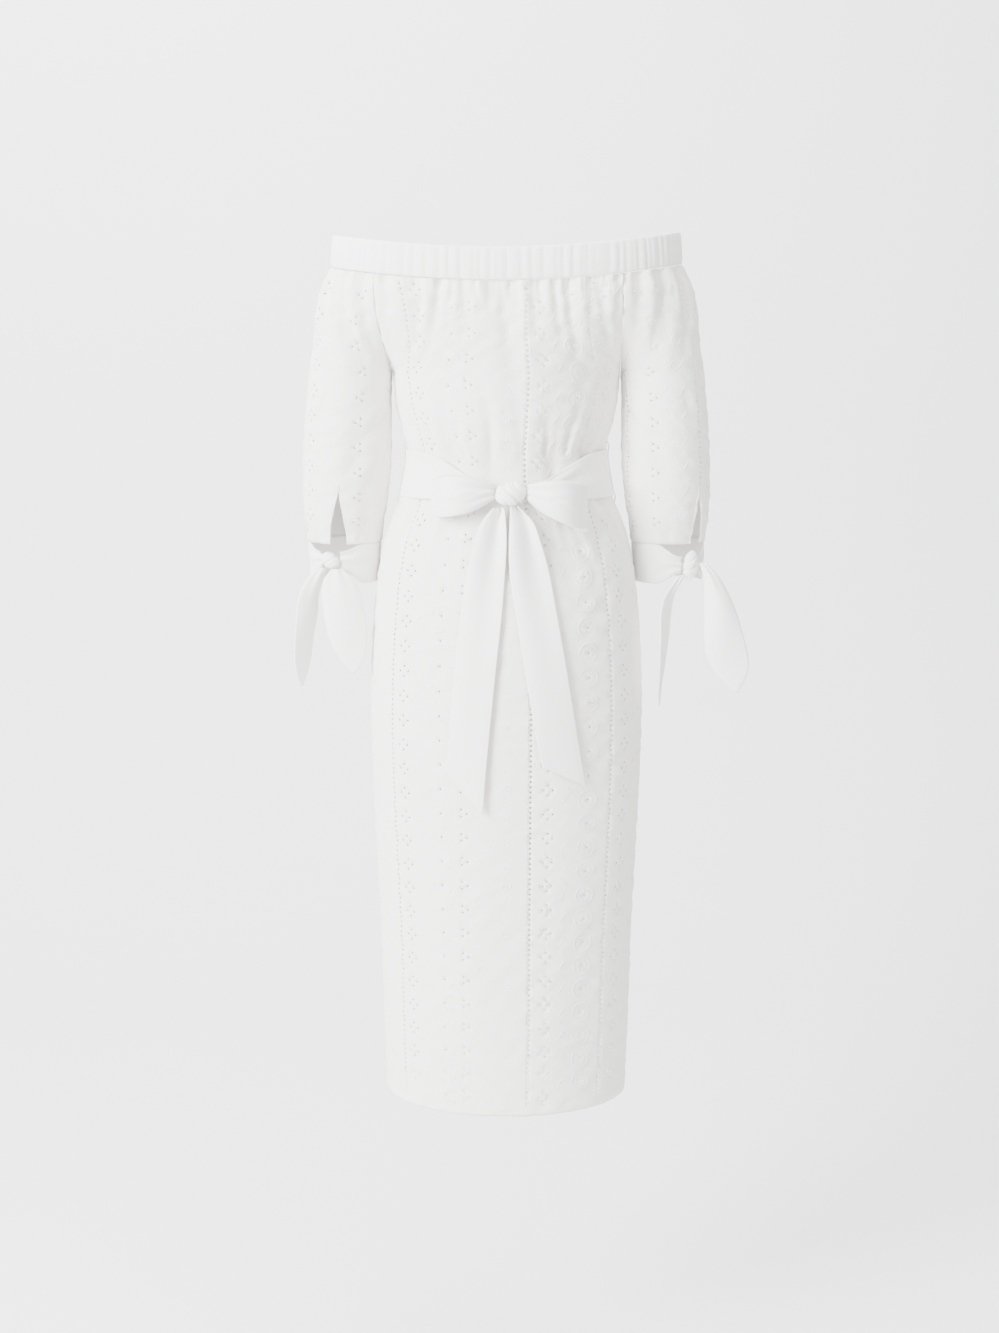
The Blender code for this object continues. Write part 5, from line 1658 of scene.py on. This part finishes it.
def make_carriers():
    """The narrow carriers that hold the sash at the side seams."""
    for side_name, sign in (("left", -1), ("right", 1)):

        def at(across, along, sign=sign):
            height = mix(CARRIER_TOP, CARRIER_BOTTOM, along)
            over = 3.55 * smooth(along / 0.08) * smooth((1 - along) / 0.08)
            x = body("half_width", height) + 1.8 + over - 0.5 * (across * 2 - 1) ** 2
            return np.stack((sign * x, (across - 0.5) * CARRIER_BREADTH, height), -1)

        sheet = strip("carrier_" + side_name, 8, 40, at, (6, 80))
        face_away(sheet, 0, 0)
        thicken(sheet, 1.0, 0.0)
        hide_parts("belt_loop_" + side_name)


# The studio, in metres and degrees
SWEEP_WIDTH, SWEEP_LENGTH = 12.0, 10.0
FLOOR_START, FLOOR_RUN, CURVE_RUN, CURVE_RADIUS = -3.6, 5.2, 1.6, 1.0
LIGHTS = (
    ("key", (-2.4, -2.2, 0.9), (0.0, 0.0, -0.45), (1.6, 2.4)),
    ("fill", (2.2, -2.6, 0.4), (0.0, 0.0, -0.5), (2.0, 2.4)),
    ("top", (0.2, -0.6, 2.4), (0.0, 0.0, -0.6), (2.4, 1.6)),
    ("sweep", (-1.4, 0.9, 2.6), (0.0, 2.6, 0.2), (2.6, 1.2)),
)
CAMERA_PLACE, CAMERA_TILT, CAMERA_LENS = (-0.009, -2.7, -0.063), 80.0, 56.1


def add_light(name, place, aim, size, power):
    light = bpy.data.lights.new(name, "AREA")
    light.shape = "RECTANGLE"
    light.size, light.size_y = size
    light.energy = power
    made = bpy.data.objects.new(name, light)
    made.location = place
    made.rotation_euler = (Vector(aim) - Vector(place)).to_track_quat("-Z", "Y").to_euler()
    bpy.context.scene.collection.objects.link(made)


def make_sweep(floor):
    """A sheet of pale paper that runs from the floor up the wall in one curve."""
    shape = bmesh.new()
    bmesh.ops.create_grid(shape, x_segments=2, y_segments=40, size=0.5)
    for vertex in shape.verts:
        run = (vertex.co.y + 0.5) * SWEEP_LENGTH
        turn = min(max(run - FLOOR_RUN, 0.0) / CURVE_RUN, 1.0) * math.pi / 2
        rise = max(run - FLOOR_RUN - CURVE_RUN, 0.0)
        y = FLOOR_START + min(run, FLOOR_RUN) + CURVE_RADIUS * math.sin(turn)
        z = floor + CURVE_RADIUS * (1 - math.cos(turn)) + rise
        vertex.co = Vector((vertex.co.x * SWEEP_WIDTH, y, z))
    mesh = bpy.data.meshes.new("sweep")
    shape.to_mesh(mesh)
    shape.free()
    mesh.materials.append(backdrop("sweep_paper", bpy.context.scene.dress_colours.backdrop))
    mesh.shade_smooth()
    sweep = bpy.data.objects.new("sweep", mesh)
    bpy.context.scene.collection.objects.link(sweep)


def make_stage():
    """The pale sweep behind and under the dress, the soft light and the camera."""
    look = bpy.context.scene.dress_studio
    make_sweep(look.floor_height)
    world = bpy.data.worlds.new("studio")
    world.use_nodes = True
    sky = world.node_tree.nodes["Background"]
    sky.inputs["Color"].default_value = (1.0, 1.0, 1.0, 1.0)
    sky.inputs["Strength"].default_value = look.ambient
    bpy.context.scene.world = world
    for name, place, aim, size in LIGHTS:
        add_light(name + "_light", place, aim, size, getattr(look, name))

    lens = bpy.data.cameras.new("camera")
    lens.lens = CAMERA_LENS
    lens.sensor_width = 36.0
    lens.sensor_fit = "AUTO"
    camera = bpy.data.objects.new("camera", lens)
    camera.location = CAMERA_PLACE
    camera.rotation_euler = (math.radians(CAMERA_TILT), 0.0, 0.0)
    bpy.context.scene.collection.objects.link(camera)
    bpy.context.scene.camera = camera


def power_property(name, default, description):
    return bpy.props.FloatProperty(
        name=name, description=description, default=default, min=0, unit="POWER"
    )


def colour_property(name, default, description):
    return bpy.props.FloatVectorProperty(
        name=name, description=description, default=default, size=3, min=0, max=1, subtype="COLOR"
    )


class DressColours(bpy.types.PropertyGroup):
    eyelet: colour_property("Eyelet cotton", (0.88, 0.865, 0.84), "Colour of the embroidered cotton")
    eyelet_shade: colour_property("Eyelet cotton, duller", (0.84, 0.82, 0.79), "Its duller threads")
    plain: colour_property("Plain cotton", (0.90, 0.89, 0.875), "Colour of the sash, cuffs and casing")
    plain_shade: colour_property("Plain cotton, duller", (0.86, 0.85, 0.83), "Its duller threads")
    thread: colour_property("Embroidery thread", (0.91, 0.90, 0.88), "Colour of the raised stitching")
    backdrop: colour_property("Sweep", (0.87, 0.87, 0.87), "Colour of the floor and backdrop")


class DressSizes(bpy.types.PropertyGroup):
    cloth_thickness: bpy.props.FloatProperty(
        name="Cloth thickness", description="Thickness of the eyelet cotton", default=0.0005, min=0.0002,
        max=0.001, unit="LENGTH",
    )
    crease_depth: bpy.props.FloatProperty(
        name="Crease depth", description="Share of their full depth that the main creases have",
        default=0.8, min=0, max=1.5, subtype="FACTOR",
    )
    crumple_depth: bpy.props.FloatProperty(
        name="Crumple", description="Depth of the fine crumple, in millimetres", default=0.45, min=0, max=2,
    )


class DressStudio(bpy.types.PropertyGroup):
    floor_height: bpy.props.FloatProperty(
        name="Floor", description="Height of the floor", default=-1.55, unit="LENGTH"
    )
    ambient: bpy.props.FloatProperty(
        name="Ambient", description="Light from all round", default=0.85, min=0
    )
    key: power_property("Key", 560, "Soft light from the left")
    fill: power_property("Fill", 60, "Weak light from the right")
    top: power_property("Top", 110, "Light from above")
    sweep: power_property("Sweep", 230, "Light on the backdrop")


class DRESS_OT_casing(bpy.types.Operator):
    """Make the gathered elastic casing"""

    bl_idname = "dress.casing"
    bl_label = "Casing"

    def execute(self, context):
        make_casing()
        return {"FINISHED"}


class DRESS_OT_back(bpy.types.Operator):
    """Make the embroidered back"""

    bl_idname = "dress.back"
    bl_label = "Back"

    def execute(self, context):
        make_panel(BACK)
        return {"FINISHED"}


class DRESS_OT_front(bpy.types.Operator):
    """Make the embroidered front"""

    bl_idname = "dress.front"
    bl_label = "Front"

    def execute(self, context):
        make_panel(FRONT)
        return {"FINISHED"}


class DRESS_OT_sleeves(bpy.types.Operator):
    """Make both embroidered sleeves"""

    bl_idname = "dress.sleeves"
    bl_label = "Sleeves"

    def execute(self, context):
        make_sleeve("left")
        make_sleeve("right")
        return {"FINISHED"}


class DRESS_OT_cuffs(bpy.types.Operator):
    """Make both cuffs and their knots"""

    bl_idname = "dress.cuffs"
    bl_label = "Cuffs"

    def execute(self, context):
        make_cuffs()
        return {"FINISHED"}


class DRESS_OT_ties(bpy.types.Operator):
    """Make the pointed ties below the cuffs"""

    bl_idname = "dress.ties"
    bl_label = "Cuff ties"

    def execute(self, context):
        make_ties()
        return {"FINISHED"}


class DRESS_OT_sash(bpy.types.Operator):
    """Make the sash round the waist"""

    bl_idname = "dress.sash"
    bl_label = "Sash"

    def execute(self, context):
        make_sash()
        return {"FINISHED"}


class DRESS_OT_bow(bpy.types.Operator):
    """Make the bow: its loops, tails and knot"""

    bl_idname = "dress.bow"
    bl_label = "Bow"

    def execute(self, context):
        make_bow()
        return {"FINISHED"}


class DRESS_OT_carriers(bpy.types.Operator):
    """Make the carriers that hold the sash"""

    bl_idname = "dress.carriers"
    bl_label = "Sash carriers"

    def execute(self, context):
        make_carriers()
        return {"FINISHED"}


class DRESS_OT_stage(bpy.types.Operator):
    """Make the sweep, the lights and the camera"""

    bl_idname = "dress.stage"
    bl_label = "Studio"

    def execute(self, context):
        make_stage()
        return {"FINISHED"}


class DRESS_PT_pieces(bpy.types.Panel):
    """The dress's pieces, sizes and colours"""

    bl_idname = "DRESS_PT_pieces"
    bl_label = "Eyelet dress"
    bl_space_type = "VIEW_3D"
    bl_region_type = "UI"
    bl_category = "Dress"

    def draw(self, context):
        layout = self.layout
        scene = context.scene
        for name in ("eyelet", "eyelet_shade", "plain", "plain_shade", "thread", "backdrop"):
            layout.prop(scene.dress_colours, name)
        for name in ("cloth_thickness", "crease_depth", "crumple_depth"):
            layout.prop(scene.dress_sizes, name)
        for name in ("floor_height", "ambient", "key", "fill", "top", "sweep"):
            layout.prop(scene.dress_studio, name)
        for piece in PIECES:
            layout.operator(piece.bl_idname)


GROUPS = {"dress_colours": DressColours, "dress_sizes": DressSizes, "dress_studio": DressStudio}
PIECES = (
    DRESS_OT_casing,
    DRESS_OT_back,
    DRESS_OT_front,
    DRESS_OT_sleeves,
    DRESS_OT_cuffs,
    DRESS_OT_ties,
    DRESS_OT_sash,
    DRESS_OT_bow,
    DRESS_OT_carriers,
    DRESS_OT_stage,
)


def register():
    for one in (*GROUPS.values(), *PIECES, DRESS_PT_pieces):
        bpy.utils.register_class(one)
    for name, group in GROUPS.items():
        setattr(bpy.types.Scene, name, bpy.props.PointerProperty(type=group))


def unregister():
    for name in GROUPS:
        delattr(bpy.types.Scene, name)
    for one in reversed((*GROUPS.values(), *PIECES, DRESS_PT_pieces)):
        bpy.utils.unregister_class(one)


def main():
    register()
    bpy.ops.dress.casing()
    bpy.ops.dress.back()
    bpy.ops.dress.front()
    bpy.ops.dress.sleeves()
    bpy.ops.dress.cuffs()
    bpy.ops.dress.ties()
    bpy.ops.dress.sash()
    bpy.ops.dress.bow()
    bpy.ops.dress.carriers()
    bpy.ops.dress.stage()


if __name__ == "__main__":
    main()
